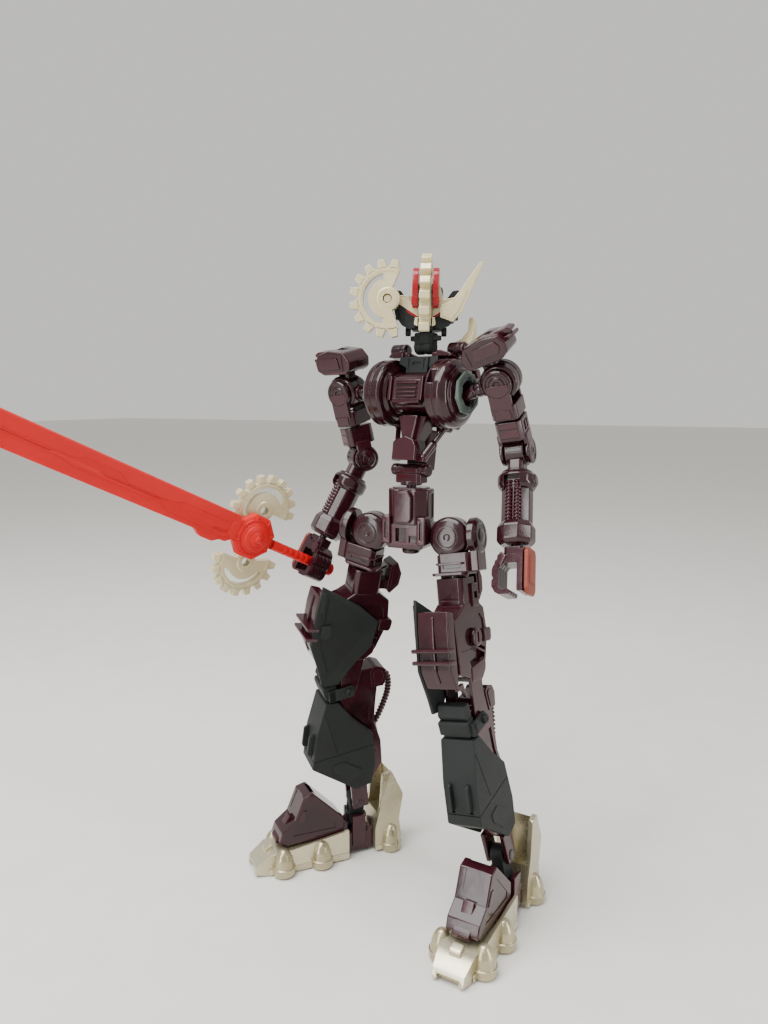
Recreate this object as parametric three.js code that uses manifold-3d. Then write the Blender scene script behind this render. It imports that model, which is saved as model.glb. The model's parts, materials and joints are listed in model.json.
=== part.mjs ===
// A posable inner-frame action figure of a walking machine: bare skeleton limbs on hinge and swivel
// joints, a few armour shells, a gear crest, gear cross-guards and a long single-edged sword.
// Millimetres, +Z up, the figure faces -Y and its own left is +X. It stands on its soles at z = 0.
import * as THREE from 'three';
import { mergeVertices } from 'three/addons/utils/BufferGeometryUtils.js';
import Module from 'manifold-3d';

// Driving sizes
const PELVIS_WIDTH = 12;
const HIP_REACH = 6;
const THIGH_LENGTH = 47.7;
const SHIN_LENGTH = 42.3;
const ANKLE_HEIGHT = 18;
const WAIST_HEIGHT = 15.5;
const CHEST_RISE = 21;
const DRUM_LENGTH = 28;
const DRUM_RADIUS = 9.2;
const SHOULDER_REACH = 9.3;
const UPPER_ARM_LENGTH = 20;
const FOREARM_LENGTH = 26;
const ARM_TURN_DROP = 9.8;
const CREST_RADIUS = 18;
const CREST_BACK = 8.2;
const CREST_RISE = 6.4;
const SIDE_GEAR_RADIUS = 10.2;
const GUARD_GEAR_RADIUS = 10.2;
const BLADE_LENGTH = 112;
const BLADE_WIDTH = 8;
const ARMOUR_WIDTH = 10.6;
const FOOT_WIDTH = 11.5;
const PIN_RADIUS = 1.1;
const HOSE_RADIUS = 0.9;
const HOSE_ROUTE = [[11, 1], [13.6, -1.5], [13.4, -7], [10.4, -13.5], [7.4, -18]];
const PIN_CLEARANCE = 0.1;
const SEGMENTS = 14;

const HIP_SPACING = PELVIS_WIDTH + 2 * HIP_REACH;

const COLOURS = {
  frame: 0x451723,
  armour: 0x2c2e2f,
  gold: 0xc2b48c,
  cream: 0xe9e2c8,
  red: 0xb02028,
  sword: 0xdc3036,
  ring: 0x4b5453,
  palm: 0xb2503c,
};

const wasm = await Module();
wasm.setup();

// Solid modelling helpers: plain geometries in, plain closed geometries out.
function toManifold(geometry) {
  const plain = geometry.clone();
  plain.deleteAttribute('normal');
  plain.deleteAttribute('uv');
  const merged = mergeVertices(plain, 1e-5);
  const mesh = new wasm.Mesh({
    numProp: 3,
    vertProperties: Float32Array.from(merged.attributes.position.array),
    triVerts: Uint32Array.from(merged.index.array),
  });
  return new wasm.Manifold(mesh);
}

function toGeometry(manifold) {
  const mesh = manifold.getMesh();
  const geometry = new THREE.BufferGeometry();
  geometry.setAttribute('position', new THREE.BufferAttribute(Float32Array.from(mesh.vertProperties), 3));
  geometry.setIndex(new THREE.BufferAttribute(Uint32Array.from(mesh.triVerts), 1));
  return geometry;
}

function join(...pieces) {
  return toGeometry(pieces.map(toManifold).reduce((sum, piece) => sum.add(piece)));
}

function cut(body, ...tools) {
  return toGeometry(tools.map(toManifold).reduce((rest, tool) => rest.subtract(tool), toManifold(body)));
}

function common(first, second) {
  return toGeometry(toManifold(first).intersect(toManifold(second)));
}

function move(geometry, x, y, z) {
  return geometry.clone().translate(x, y, z);
}

function turn(geometry, axis, degrees) {
  const matrix = new THREE.Matrix4().makeRotationAxis(axis, THREE.MathUtils.degToRad(degrees));
  return geometry.clone().applyMatrix4(matrix);
}

const X = new THREE.Vector3(1, 0, 0);
const Y = new THREE.Vector3(0, 1, 0);
const Z = new THREE.Vector3(0, 0, 1);

// Lays a solid whose own axis is +Z along the named axis; a flat outline's u, v become y, z on 'x',
// x, z on 'y' and x, y on 'z'.
function along(axis, geometry) {
  if (axis === 'x') {
    const matrix = new THREE.Matrix4().makeBasis(Y, Z, X);
    return geometry.clone().applyMatrix4(matrix);
  }
  if (axis === 'y') {
    return geometry.clone().rotateX(Math.PI / 2);
  }
  return geometry;
}

function plate(outline, thickness, axis, bevel = 0) {
  const shape = new THREE.Shape(outline.map(([u, v]) => new THREE.Vector2(u, v)));
  const geometry = new THREE.ExtrudeGeometry(shape, {
    depth: thickness - 2 * bevel,
    bevelEnabled: bevel > 0,
    bevelThickness: bevel,
    bevelSize: bevel,
    bevelOffset: -bevel,
    bevelSegments: 1,
    steps: 1,
    curveSegments: 6,
  });
  geometry.translate(0, 0, bevel - thickness / 2);
  return along(axis, geometry);
}

function chamfered(width, depth, corner) {
  const w = width / 2;
  const d = depth / 2;
  return [
    [w, -d + corner], [w, d - corner], [w - corner, d], [corner - w, d],
    [-w, d - corner], [-w, corner - d], [corner - w, -d], [w - corner, -d],
  ];
}

// A box from low corner to high corner, with its upright edges and rims chamfered.
function block(x0, x1, y0, y1, z0, z1, bevel = 0.4) {
  const least = Math.min(x1 - x0, y1 - y0, z1 - z0);
  const b = least < 3.2 ? 0 : Math.min(bevel, 0.15 * least);
  const w = (x1 - x0) / 2;
  const d = (y1 - y0) / 2;
  const outline = b > 0 ? chamfered(2 * w, 2 * d, b * 1.5) : [[w, -d], [w, d], [-w, d], [-w, -d]];
  return move(plate(outline, z1 - z0, 'z', b), (x0 + x1) / 2, (y0 + y1) / 2, (z0 + z1) / 2);
}

function turned(profile, axis, segments = SEGMENTS) {
  const points = profile.map(([r, z]) => new THREE.Vector2(r, z));
  const lathe = new THREE.LatheGeometry(points, segments).rotateX(Math.PI / 2);
  return along(axis, lathe);
}

function rod(radius, length, axis, bevel = 0.3, segments = SEGMENTS) {
  const h = length / 2;
  const profile = bevel > 0 && radius >= 3
    ? [[0, -h], [radius - bevel, -h], [radius, bevel - h], [radius, h - bevel], [radius - bevel, h], [0, h]]
    : [[0, -h], [radius, -h], [radius, h], [0, h]];
  return turned(profile, axis, segments);
}

// A flat gear wheel or part of one: teeth all round, with the parts outside the kept angles cut away.
function gearOutline(radius, teeth, depth, from, to) {
  const outline = [];
  const pitch = (2 * Math.PI) / teeth;
  const count = Math.round((to - from) / pitch);
  for (let i = 0; i < count; i += 1) {
    const start = from + i * pitch;
    const corners = [[0.12, radius - depth], [0.27, radius], [0.73, radius], [0.88, radius - depth]];
    for (const [step, r] of corners) {
      outline.push([r * Math.cos(start + step * pitch), r * Math.sin(start + step * pitch)]);
    }
  }
  return outline;
}

// Joint groups: a nested group carries its hinge line and range for whoever reads the tree.
const root = new THREE.Group();
root.name = 'figure';

function hinge(parent, body, joint, at, axis, rest, low, high) {
  const group = new THREE.Group();
  group.name = body;
  group.position.set(...at);
  group.quaternion.setFromAxisAngle(axis.clone().normalize(), THREE.MathUtils.degToRad(rest));
  group.userData = { joint, axis: axis.toArray(), rest, low, high };
  parent.add(group);
  return group;
}

function add(parent, name, colour, geometry, side = 1) {
  const placed = toGeometry(toManifold(geometry));
  if (side < 0) {
    placed.scale(-1, 1, 1);
    const index = placed.index.array;
    for (let i = 0; i < index.length; i += 3) {
      [index[i], index[i + 1]] = [index[i + 1], index[i]];
    }
  }
  const material = new THREE.MeshStandardMaterial({ color: COLOURS[colour], roughness: 0.4 });
  const mesh = new THREE.Mesh(placed, material);
  mesh.name = name;
  parent.add(mesh);
}

// Pelvis: tall faceted block with side lugs, the hip axle through it and the stand peg below.
function buildPelvis() {
  const w = PELVIS_WIDTH / 2;
  const outline = [
    [-w + 1, -3.4], [w - 1, -3.4], [w, -1.5], [w, 7], [w - 1.6, 13.2], [1.6 - w, 13.2], [-w, 7],
    [-w, -1.5],
  ];
  const body = plate(outline, 9.4, 'y', 0.7);
  const front = block(-3.2, 3.2, -6, -3, 3.5, 12.4, 0.5);
  const lugs = block(-w - 0.2, w + 0.2, -2.4, 2.4, -2.6, 2.8, 0.5);
  const axle = rod(PIN_RADIUS, HIP_SPACING - 8, 'x', 0, 8);
  const peg = move(rod(2.5, 3.6, 'z', 0.3), 0, 0, -3.4);
  const socket = move(rod(1.5, 8, 'z', 0, 8), 0, 0, 12);
  return cut(join(body, front, lugs, axle, peg), socket);
}

// Waist swivel: post in the pelvis socket and the cross bar that the trunk rocks on.
function buildWaist() {
  const post = move(rod(1.35, 5.6, 'z', 0, 8), 0, 0, -3.6);
  const collar = move(rod(3, 1.2, 'z', 0.2), 0, 0, -1.2);
  const cradle = block(-4.2, 4.2, -2.4, 2.4, -1.2, 1.4, 0.4);
  const bar = move(rod(1.7, 12, 'x', 0.3, 12), 0, 0, 2.2);
  return join(post, collar, cradle, bar);
}

// Trunk: wedge that narrows down to a chevron block hooked over the waist bar, with its side pistons.
function buildAbdomen() {
  const wedge = [
    [-2.2, 1.5], [2.2, 1.5], [3.4, 5], [2.6, 8], [4.6, 14.6], [-4.6, 14.6], [-2.6, 8], [-3.4, 5],
  ];
  const front = plate(wedge, 5.6, 'y', 0.4);
  const chevron = move(plate([[-3.8, 2], [3.8, 2], [3.8, 6], [0, 9], [-3.8, 6]], 2.4, 'y', 0), 0, -3.6, 0);
  const spine = block(-3.4, 3.4, 2, 6.4, 0.4, 11.6, 0.4);
  const pistons = [-1, 1].map((s) => move(rod(0.8, 12.4, 'z', 0.2, 10), s * 4.6, -1.6, 7.4));
  const feet = block(-5.3, 5.3, -2.4, -0.8, 2.6, 4.2, 0.2);
  const saddle = rod(2.05, 30, 'x', 0, 8);
  return cut(join(front, chevron, spine, ...pistons, feet), saddle);
}

function buildChestDrum() {
  const half = DRUM_LENGTH / 2;
  const r = DRUM_RADIUS;
  const drum = turned([
    [0, -half], [r - 2.2, -half], [r - 0.8, -half + 1], [r, -half + 2.4], [r, -half + 6.4],
    [r - 1.2, -half + 7.4],
    [r - 3.4, -half + 8.2], [r - 3.4, half - 8.2], [r - 1.2, half - 7.4], [r, half - 6.4], [r, half - 2.4],
    [r - 0.8, half - 1], [r - 2.2, half], [0, half],
  ], 'x', 18);
  const panel = block(-4.4, 4.4, -7, -2, -3.6, 3.6, 0.4);
  const back = block(-8.7, 8.7, 2.8, 10.3, -8.7, 5.3, 1);
  const neckPost = block(-3.2, 3.2, -2.4, 4, 5, 9.6, 0.5);
  const sockets = [-1, 1].map((s) => move(rod(4.4, 6, 'x', 0, 8), s * (half - 2), 0, 0));
  return cut(join(drum, panel, back, neckPost), ...sockets);
}

// Octagonal end ring pressed on the drum's end, open in the middle for the shoulder axle.
function buildDrumRing() {
  const outer = turned([[0, -0.7], [5.4, -0.7], [5.8, -0.3], [5.8, 0.4], [5.2, 0.8], [0, 0.8]], 'x', 8);
  return cut(turn(outer, X, 22.5), rod(3, 6, 'x', 0, 8));
}

function buildYoke() {
  const outline = [
    [-11.5, 6.3], [-9, 4.4], [9, 4.4], [11.5, 6.3], [10.5, 9], [4.4, 10.4], [-4.4, 10.4], [-10.5, 9],
  ];
  const back = move(plate(outline, 2.4, 'y', 0.4), 0, 11.8, 0);
  const shelf = block(-10.5, 10.5, 4.6, 12.4, 9.6, 11.4, 0.4);
  const wings = [-1, 1].map((s) => block(s * 8 - 2.4, s * 8 + 2.4, -2, 6, 9.6, 11, 0.3));
  const knobs = [-1, 1].map((s) => move(rod(1.9, 5.6, 'x', 0.5), s * 9.4, 2.4, 12.4));
  return join(back, shelf, ...wings, ...knobs);
}

function buildCollarHorn() {
  const outline = [[0, 0], [4.2, 1.2], [5.6, 5.2], [4.8, 9.6], [3.4, 5.8], [1.8, 3.6], [-0.8, 2.6]];
  return move(plate(outline, 1.6, 'y', 0.3), 6.4, 6, 12.2);
}

// Neck: column with a ball-like nodding boss, then the post the head turns on.
function buildNeck() {
  const boss = rod(2.1, 5.6, 'x', 0.4);
  const column = block(-3, 3, -2.2, 2.2, 0.6, 3.7, 0.4);
  const bar = block(-4.4, 4.4, -1.2, 1.2, 1.6, 3, 0.3);
  const post = move(rod(1.25, 5, 'z', 0, 8), 0, 0, 5.4);
  return join(boss, column, bar, post);
}

function buildHelmet() {
  const skull = block(-4.2, 4.2, -2, 5.4, 0.2, 12, 1);
  const cheeks = [-1, 1].map((s) => turn(
    block(s * 6.9 - 1.5, s * 6.9 + 1.5, -1.6, 4.4, 2.4, 11.4, 0.4), Z, s * 4,
  ));
  const links = block(-7, 7, 0, 3, 4.4, 8.6, 0.3);
  const chin = move(plate([[-1.6, 0.1], [1.6, 0.1], [2.6, 3], [-2.6, 3]], 4, 'y', 0.4), 0, -3.2, 0);
  const rim = CREST_RADIUS + 0.6;
  const slotOutline = [
    ...arc(rim, -40, 80), ...arc(CREST_RADIUS - 5.8, 80, -40),
  ].map(([u, v]) => [CREST_BACK - u, v]);
  const slot = move(plate(slotOutline.reverse(), 3.4, 'x'), 0, 0, CREST_RISE);
  const bore = move(rod(1.4, 16, 'z', 0, 8), 0, 0, 0);
  return cut(join(skull, ...cheeks, links, chin), slot, bore);
}

// Cream brow plate behind the crest, with the short arm that carries the side gear's pin.
function buildBrow() {
  const mask = plate(
    [[-3.9, 3.4], [3.9, 3.4], [5.4, 7], [3.6, 12.4], [-3.6, 12.4], [-5.4, 7]], 1.4, 'y', 0.3,
  );
  const arm = block(-11.4, -2.6, -0.7, 0.7, 6.6, 9.4, 0.3);
  const pin = move(rod(PIN_RADIUS, 3.6, 'y', 0, 8), -10, -2, 8);
  return cut(move(join(mask, arm, pin), 0, -2.85, 0), block(-1.75, 1.75, -8, 2, 9.8, 20, 0));
}

// Crest: a crescent of a large gear standing in the middle plane of the head, teeth forward.
function buildCrest() {
  const rad = THREE.MathUtils.degToRad;
  const outer = gearOutline(CREST_RADIUS, 27, 2.1, rad(-26), rad(54));
  const inner = arc(CREST_RADIUS - 5.4, 54, -26);
  const outline = [...outer, ...inner].map(([u, v]) => [CREST_BACK - u, v]);
  return move(plate(outline.reverse(), 2.8, 'x', 0), 0, 0, CREST_RISE);
}

function buildFacePlate() {
  const outline = [[-4, 5.6], [-4, 13.6], [-2.4, 15.8], [-4.2, 16.8], [-6.6, 15], [-7.6, 11], [-6, 6]];
  return move(plate(outline, 1.7, 'x', 0.4), 2.7, 0, 0);
}

function buildFin() {
  const blade = plate(
    [[0.4, -1.4], [4, -2.6], [6.4, 0.6], [11.6, 13.4], [5, 5.4], [0.4, 2.6]], 1.5, 'y', 0.3,
  );
  return move(blade, 3.6, -4.6, 4.6);
}

// Partial gear wheel with a raised rim, an arc groove and a hub hole; its centre is the hub.
function buildPartGear(radius, teeth, thickness, from, to) {
  const rad = THREE.MathUtils.degToRad;
  const sector = gearOutline(radius, teeth, 2, rad(from), rad(to));
  const bite = [
    [2.4 * Math.cos(rad(to)), 2.4 * Math.sin(rad(to))],
    [2.4 * Math.cos(rad(from)), 2.4 * Math.sin(rad(from))],
  ];
  const wheel = plate([...sector, ...bite], thickness, 'z', 0);
  const hub = rod(3.6, thickness, 'z', 0.3);
  const window = plate(
    [...arc(radius - 3.4, from + 30, to - 30), ...arc(radius - 5.2, to - 30, from + 30)], 8, 'z',
  );
  return cut(join(wheel, hub), rod(PIN_RADIUS + PIN_CLEARANCE, 9, 'z', 0, 8), window);
}

function arc(radius, from, to) {
  const points = [];
  const steps = 8;
  for (let i = 0; i <= steps; i += 1) {
    const angle = THREE.MathUtils.degToRad(from + ((to - from) * i) / steps);
    points.push([radius * Math.cos(angle), radius * Math.sin(angle)]);
  }
  return points;
}

function buildSideGear() {
  const gear = turn(buildPartGear(SIDE_GEAR_RADIUS, 16, 2.6, 67.5, 292.5), X, 90);
  return cut(gear, rod(PIN_RADIUS + PIN_CLEARANCE, 12, 'y', 0, 8));
}

// Arm pieces are drawn for the figure's left arm and mirrored for the right one.
function buildClavicle() {
  const stub = move(rod(1.7, 7, 'x', 0, 8), -0.9, 0, 0);
  const ball = move(rod(2.2, 1.4, 'x', 0.4), 3, 0, 0);
  const pin = move(rod(PIN_RADIUS, 4, 'x', 0, 8), 5.2, 0, 0);
  return join(stub, ball, pin);
}

function buildShoulderDisc() {
  const disc = rod(4.9, 6.2, 'y', 0.7);
  const neck = move(rod(2.4, 2, 'x', 0.3), -4.6, 0, 0);
  const bore = move(rod(PIN_RADIUS + PIN_CLEARANCE, 5, 'x', 0, 8), -4.3, 0, 0);
  const saddle = block(-2.4, 1.6, -2, 2, 3.4, 5.8, 0.3);
  const hub = rod(PIN_RADIUS + PIN_CLEARANCE, 12, 'y', 0, 8);
  return cut(join(disc, neck, saddle), bore, hub);
}

function buildPauldron() {
  const profile = [[-5.2, 0.2], [3.6, -0.8], [7.4, 0], [9, 3], [7.6, 5.6], [2.4, 6.8], [-4, 6], [-5.8, 3]];
  const shell = plate(profile, 9.6, 'y', 0.9);
  const tip = block(6.2, 9.6, -2.8, 2.8, 3, 5.8, 0.4);
  const hollow = block(-4.4, 4.6, -3.2, 3.2, -4, 2.6, 0);
  return cut(join(shell, tip), hollow);
}

function buildUpperArm() {
  const fork = [-1, 1].map((s) => move(rod(3.9, 1.2, 'y', 0.3), 0, s * 4.1, 0));
  const straps = [-1, 1].map((s) => block(-3.2, 3.2, s * 4.1 - 0.6, s * 4.1 + 0.6, -7.4, 0, 0.2));
  const pin = rod(PIN_RADIUS, 8.4, 'y', 0, 8);
  const body = block(-3.4, 3.7, -4.7, 4.7, -9.6, -5.6, 0.6);
  const shoulderGap = rod(5.25, 6.9, 'y', 0);
  const socket = move(rod(1.5 + PIN_CLEARANCE, 5, 'z', 0, 8), 0, 0, -8);
  return join(cut(join(...fork, ...straps, body), shoulderGap, socket), pin);
}

// Lower half of the upper arm: turns on a stud in the half above and forks around the elbow.
function buildElbowBlock() {
  const drop = ARM_TURN_DROP - UPPER_ARM_LENGTH;
  const stud = move(rod(1.4, 3, 'z', 0, 8), 0, 0, 0.9);
  const body = block(-3.5, 3.8, -4.2, 4.2, drop + 4.4, -0.35, 0.7);
  const notch = block(3, 6, -2, 2, -3.4, -1.4, 0);
  const elbowGap = move(rod(4.5, 5.6, 'x', 0), 0, 0, drop);
  const lugs = [-1, 1].map((s) => block(s * 3.5 - 0.6, s * 3.5 + 0.6, -2.2, 2.2, drop - 1, drop + 5.6, 0.2));
  const rims = [-1, 1].map((s) => move(rod(3.6, 1.3, 'x', 0.3), s * 3.5, 0, drop));
  const pin = move(rod(PIN_RADIUS, 7.4, 'x', 0, 8), 0, 0, drop);
  return join(cut(join(stud, body, ...lugs, ...rims), elbowGap, notch), pin);
}

function buildForearm() {
  const knuckle = rod(4, 5, 'x', 0.4);
  const stem = block(-2.2, 2.2, -2.6, 2.6, -7.4, -2, 0.5);
  const bell = move(
    turned([[0, -2.6], [4.4, -2.6], [5.1, -1.6], [5.1, 1], [4.2, 2.4], [0, 2.4]], 'z'), 0, 0, -8.4,
  );
  const waistPart = block(-3.2, 3.2, -2.6, 3.4, 5.6 - FOREARM_LENGTH, -9, 0.6);
  const bore = rod(PIN_RADIUS + PIN_CLEARANCE, 12, 'x', 0, 8);
  const wrist = move(rod(PIN_RADIUS + PIN_CLEARANCE, 6, 'z', 0, 8), 0, 0, -FOREARM_LENGTH + 1);
  const cableLength = FOREARM_LENGTH - 16;
  const cableAt = 5.4 - FOREARM_LENGTH + cableLength / 2;
  const cables = [-1, 1].map((s) => move(rod(0.9, cableLength, 'z', 0, 8), s * 1.7, -3.1, cableAt));
  const cuff = move(
    turned([[0, -3], [3.9, -3], [4.7, -2], [4.7, 1.8], [3.9, 3.2], [0, 3.2]], 'z'), 0, 0,
    3.2 - FOREARM_LENGTH,
  );
  return cut(join(knuckle, stem, bell, waistPart, ...cables, cuff), bore, wrist);
}

function buildHand() {
  const peg = move(rod(PIN_RADIUS, 3.4, 'z', 0, 8), 0, 0, 0.9);
  const wristPlug = block(-2.6, 3, -2.6, 2.6, -3.2, -0.5, 0.4);
  const palm = block(1.4, 3, -3.2, 3.2, -12.4, -1.4, 0.4);
  const knuckles = block(-3.8, 3, -3.2, 3.2, -5, -3, 0.4);
  const fingers = block(-5, -3.3, -3.2, 3.2, -12.4, -3.8, 0.5);
  const tips = block(-4.6, -0.4, -3.2, 3.2, -12.9, -11.4, 0.5);
  return join(peg, wristPlug, palm, knuckles, fingers, tips);
}

function buildPalmPlate() {
  return block(3.3, 4.5, -3, 3, -12.8, -0.9, 0.4);
}

function buildArm(chest, side, name, pose) {
  const shoulderAt = [side * (DRUM_LENGTH / 2 + 2.2), 0, 0];
  const out = new THREE.Vector3(0, -side, 0);
  const clavicle = hinge(
    chest, `${name}_clavicle`, `${name}_shoulder_shrug`, shoulderAt, out, pose.shrug,
    pose.shrug - pose.shrugDown, pose.shrug + 10,
  );
  add(clavicle, `clavicle_${name}`, 'frame', buildClavicle(), side);
  const reach = [side * SHOULDER_REACH, 0, 0];
  const shoulder = hinge(
    clavicle, `${name}_shoulder`, `${name}_shoulder_swing`, reach, X, pose.swing, pose.swing - 60,
    pose.swing + 30,
  );
  add(shoulder, `shoulder_disc_${name}`, 'frame', buildShoulderDisc(), side);
  const cap = hinge(
    shoulder, `${name}_pauldron`, `${name}_pauldron_lift`, [0, 0, 6.1], out, pose.cap, pose.cap - 8,
    pose.cap + 30,
  );
  add(cap, `pauldron_${name}`, 'frame', buildPauldron(), side);
  const upper = hinge(
    shoulder, `${name}_upper_arm`, `${name}_arm_raise`, [0, 0, 0], out, pose.raise, pose.raise - 1,
    pose.raise + 40,
  );
  add(upper, `upper_arm_${name}`, 'frame', buildUpperArm(), side);
  const turnAxis = new THREE.Vector3(0, 0, side);
  const turnAt = [0, 0, -ARM_TURN_DROP];
  const lower = hinge(
    upper, `${name}_elbow_block`, `${name}_arm_turn`, turnAt, turnAxis, pose.turn,
    pose.turn - pose.turnDown, pose.turn + 15,
  );
  add(lower, `elbow_block_${name}`, 'frame', buildElbowBlock(), side);
  const elbowAt = [0, 0, ARM_TURN_DROP - UPPER_ARM_LENGTH];
  const fore = hinge(
    lower, `${name}_forearm`, `${name}_elbow_bend`, elbowAt, X, pose.elbow, -95, pose.elbowHigh,
  );
  add(fore, `forearm_${name}`, 'frame', buildForearm(), side);
  const hand = hinge(
    fore, `${name}_hand`, `${name}_wrist_turn`, [0, 0, -FOREARM_LENGTH], turnAxis, pose.wrist,
    pose.wristLow, pose.wristHigh,
  );
  add(hand, `hand_${name}`, 'frame', buildHand(), side);
  add(hand, `palm_plate_${name}`, 'palm', buildPalmPlate(), side);
  return hand;
}

// Leg pieces are drawn for the figure's left leg and mirrored for the right one.
function buildHipDisc() {
  const disc = move(rod(5.5, 6.4, 'y', 0.7), 4.5, 0, 0);
  const boss = move(rod(2.8, 0.9, 'y', 0.3), 4.5, -3.4, 0);
  const neck = move(rod(2.6, 2, 'x', 0.3), 0.5, 0, 0);
  const bore = move(rod(PIN_RADIUS + PIN_CLEARANCE, 6, 'x', 0, 8), -0.6, 0, 0);
  const hole = move(rod(PIN_RADIUS + PIN_CLEARANCE, 12, 'y', 0, 8), 4.5, 4, 0);
  return cut(join(disc, boss, neck), bore, hole);
}

function buildCollar() {
  const side = move(rod(5, 3, 'x', 0.9), 7.5, 0, -0.2);
  const wall = block(6, 8.2, -3.2, 3.2, -9.4, -2, 0.4);
  const seat = block(-3.6, 6.4, -3.9, 3.9, -9.4, -4.2, 0.5);
  const flange = block(-5, 5.2, -4.8, 4.2, -10.1, -9.2, 0.2);
  const ear = move(rod(2.7, 1.5, 'y', 0.3), 0, 4.55, 0);
  const strap = block(-2.4, 2.4, 3.8, 5.3, -9.4, 0, 0.2);
  const pin = move(rod(PIN_RADIUS, 6.4, 'y', 0, 8), 0, 1.6, 0);
  const clear = rod(5.85, 6.9, 'y', 0);
  const stud = move(rod(1.5, 3.4, 'z', 0, 8), 0, 0, -11.2);
  return join(cut(join(side, wall, seat, flange, ear, strap), clear), pin, stud);
}

function buildThigh() {
  const knee = 10.4 - THIGH_LENGTH;
  const top = block(-4, 4, -4.2, 4.2, -8, -0.45, 0.6);
  const outline = [
    [-3.6, -7], [4.4, -7], [7.4, -9], [8.4, -16], [6, knee + 13.3], [3.4, knee + 9.9], [-2, knee + 9.9],
    [-9, knee + 12.3],
    [-10.2, -11], [-6, -9],
  ];
  const main = plate(outline, 8.4, 'x', 0.6);
  const hatch = plate([[6.3, -6], [6.4, 1], [8.4, 2.4], [10.2, -1], [10, -4.6], [7.4, -7.4]], 6.4, 'x', 0.4);
  const hatchFoot = block(-2, 2, 3, 7, -6.4, -3.6, 0.2);
  const belt = block(-4.9, 4.9, 5.2, 9.4, -18.4, -14.6, 0.4);
  const loop = cut(
    move(rod(2.2, 1.6, 'x', 0.4), 4.6, 0.5, -16.4), move(rod(1, 6, 'x', 0, 10), 4.6, 0.5, -16.4),
  );
  const lipOutline = [
    [-3, knee + 13.3], [5, knee + 14.9], [5.4, knee + 12.3], [3, knee + 9.5], [-3, knee + 9.5],
  ];
  const lip = plate(lipOutline, 8.5, 'x', 0.4);
  const earOutline = [
    [-4, knee + 11.3], [3, knee + 11.3], [2.6, knee + 1], [0.8, knee - 1.8], [-1.6, knee - 1.8],
    [-2.8, knee + 1],
  ];
  const ears = [-1, 1].map((s) => move(plate(earOutline, 0.9, 'x', 0.15), s * 3.75, 0, 0));
  const pin = move(rod(PIN_RADIUS, 7.6, 'x', 0, 8), 0, 0, knee);
  const socket = move(rod(1.6 + PIN_CLEARANCE, 7, 'z', 0, 8), 0, 0, 0);
  return cut(join(main, top, hatch, hatchFoot, belt, loop, lip, ...ears, pin), socket);
}

// Thigh armour: bent shell over the front and the inner side, with two cross ribs and a centre ridge.
function buildThighArmour() {
  const w = ARMOUR_WIDTH / 2;
  const knee = 10.4 - THIGH_LENGTH;
  const outline = [
    [-14, -5], [-2, -10.5], [4.6, -15.2], [4, knee + 14.3], [0, knee + 9.3], [-4.4, knee + 2.1],
    [-9.4, knee + 2.1],
    [-11, knee + 6.3], [-14.6, knee + 13.9], [-14.6, -12.6],
  ];
  const shell = plate(outline, ARMOUR_WIDTH, 'x', 0.5);
  const cavity = plate([[-11, 3], [10, 3], [10, knee - 7], [-11, knee - 7]], ARMOUR_WIDTH, 'x');
  const toe = block(0.9 - w, w + 2, -20, 10, knee - 7, knee + 6.8, 0);
  const ribs = [-18, -21].map((z) => block(-w - 0.2, w + 0.2, -16.6, -13, z - 0.5, z + 0.5, 0.2));
  const ridge = block(-0.6, 0.6, -15.4, -13, knee + 10.3, -9, 0.3);
  const badge = block(-w - 0.8, 0.2 - w, -12.2, -9.6, -20.4, -16.4, 0.3);
  return join(cut(shell, move(cavity, 0.9, 0, 0), toe), ...ribs, ridge, badge);
}

function buildShin() {
  const outline = [
    [-3, -4], [-1, 1], [2, 4], [8.6, 4], [10, 1], [8.4, -7.6], [7.4, -14.4], [9, -22], [8.8, -30],
    [4, -36.6], [-0.6, -36.6], [-2.6, -30],
  ];
  const main = plate(outline, 5.8, 'x', 0.5);
  const cap = plate(
    [[7.4, -2.4], [11.4, -2.8], [12.8, 0.6], [12.2, 3.2], [9.4, 4.4], [7.4, 3.4]], 6.4, 'x', 0.6,
  );
  const knuckle = rod(3.2, 5.8, 'x', 0.3);
  const route = new THREE.CatmullRomCurve3(HOSE_ROUTE.map(([y, z]) => new THREE.Vector3(0, y, z)));
  const ring = arc(HOSE_RADIUS, 0, 315).slice(0, 8);
  const section = new THREE.Shape(ring.map(([u, v]) => new THREE.Vector2(u, v)));
  const hose = new THREE.ExtrudeGeometry(section, { steps: 8, extrudePath: route, bevelEnabled: false });
  const bore = rod(PIN_RADIUS + PIN_CLEARANCE, 12, 'x', 0, 8);
  const ankleGap = move(rod(3.1, 4.3, 'x', 0), 0, 0, -SHIN_LENGTH);
  const lugs = [-1, 1].map((s) => block(
    s * 2.9 - 0.6, s * 2.9 + 0.6, -2.2, 3, -SHIN_LENGTH - 1.6, -35.4, 0.2,
  ));
  const pin = move(rod(PIN_RADIUS, 5.2, 'x', 0, 8), 0, 0, -SHIN_LENGTH);
  return join(cut(join(main, cap, hose, knuckle, ...lugs), bore, ankleGap), pin);
}

function buildKneeCap() {
  const cap = plate([[-7.2, -2], [-4, -2.4], [-4, 6.4], [-6.8, 6.4], [-8, 3]], 8.2, 'x', 0.4);
  const cheeks = [-1, 1].map((s) => block(s * 4.85 - 0.35, s * 4.85 + 0.35, -6.4, 1.4, -2.2, 1.4, 0.1));
  const bridge = block(-5.2, 5.2, -6.6, -4.4, -2.2, 1.4, 0.2);
  const pegs = [-1, 1].map((s) => move(rod(1.1, 1.4, 'x', 0.2, 10), s * 5.7, -0.4, -0.2));
  return join(cap, ...cheeks, bridge, ...pegs);
}

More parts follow.
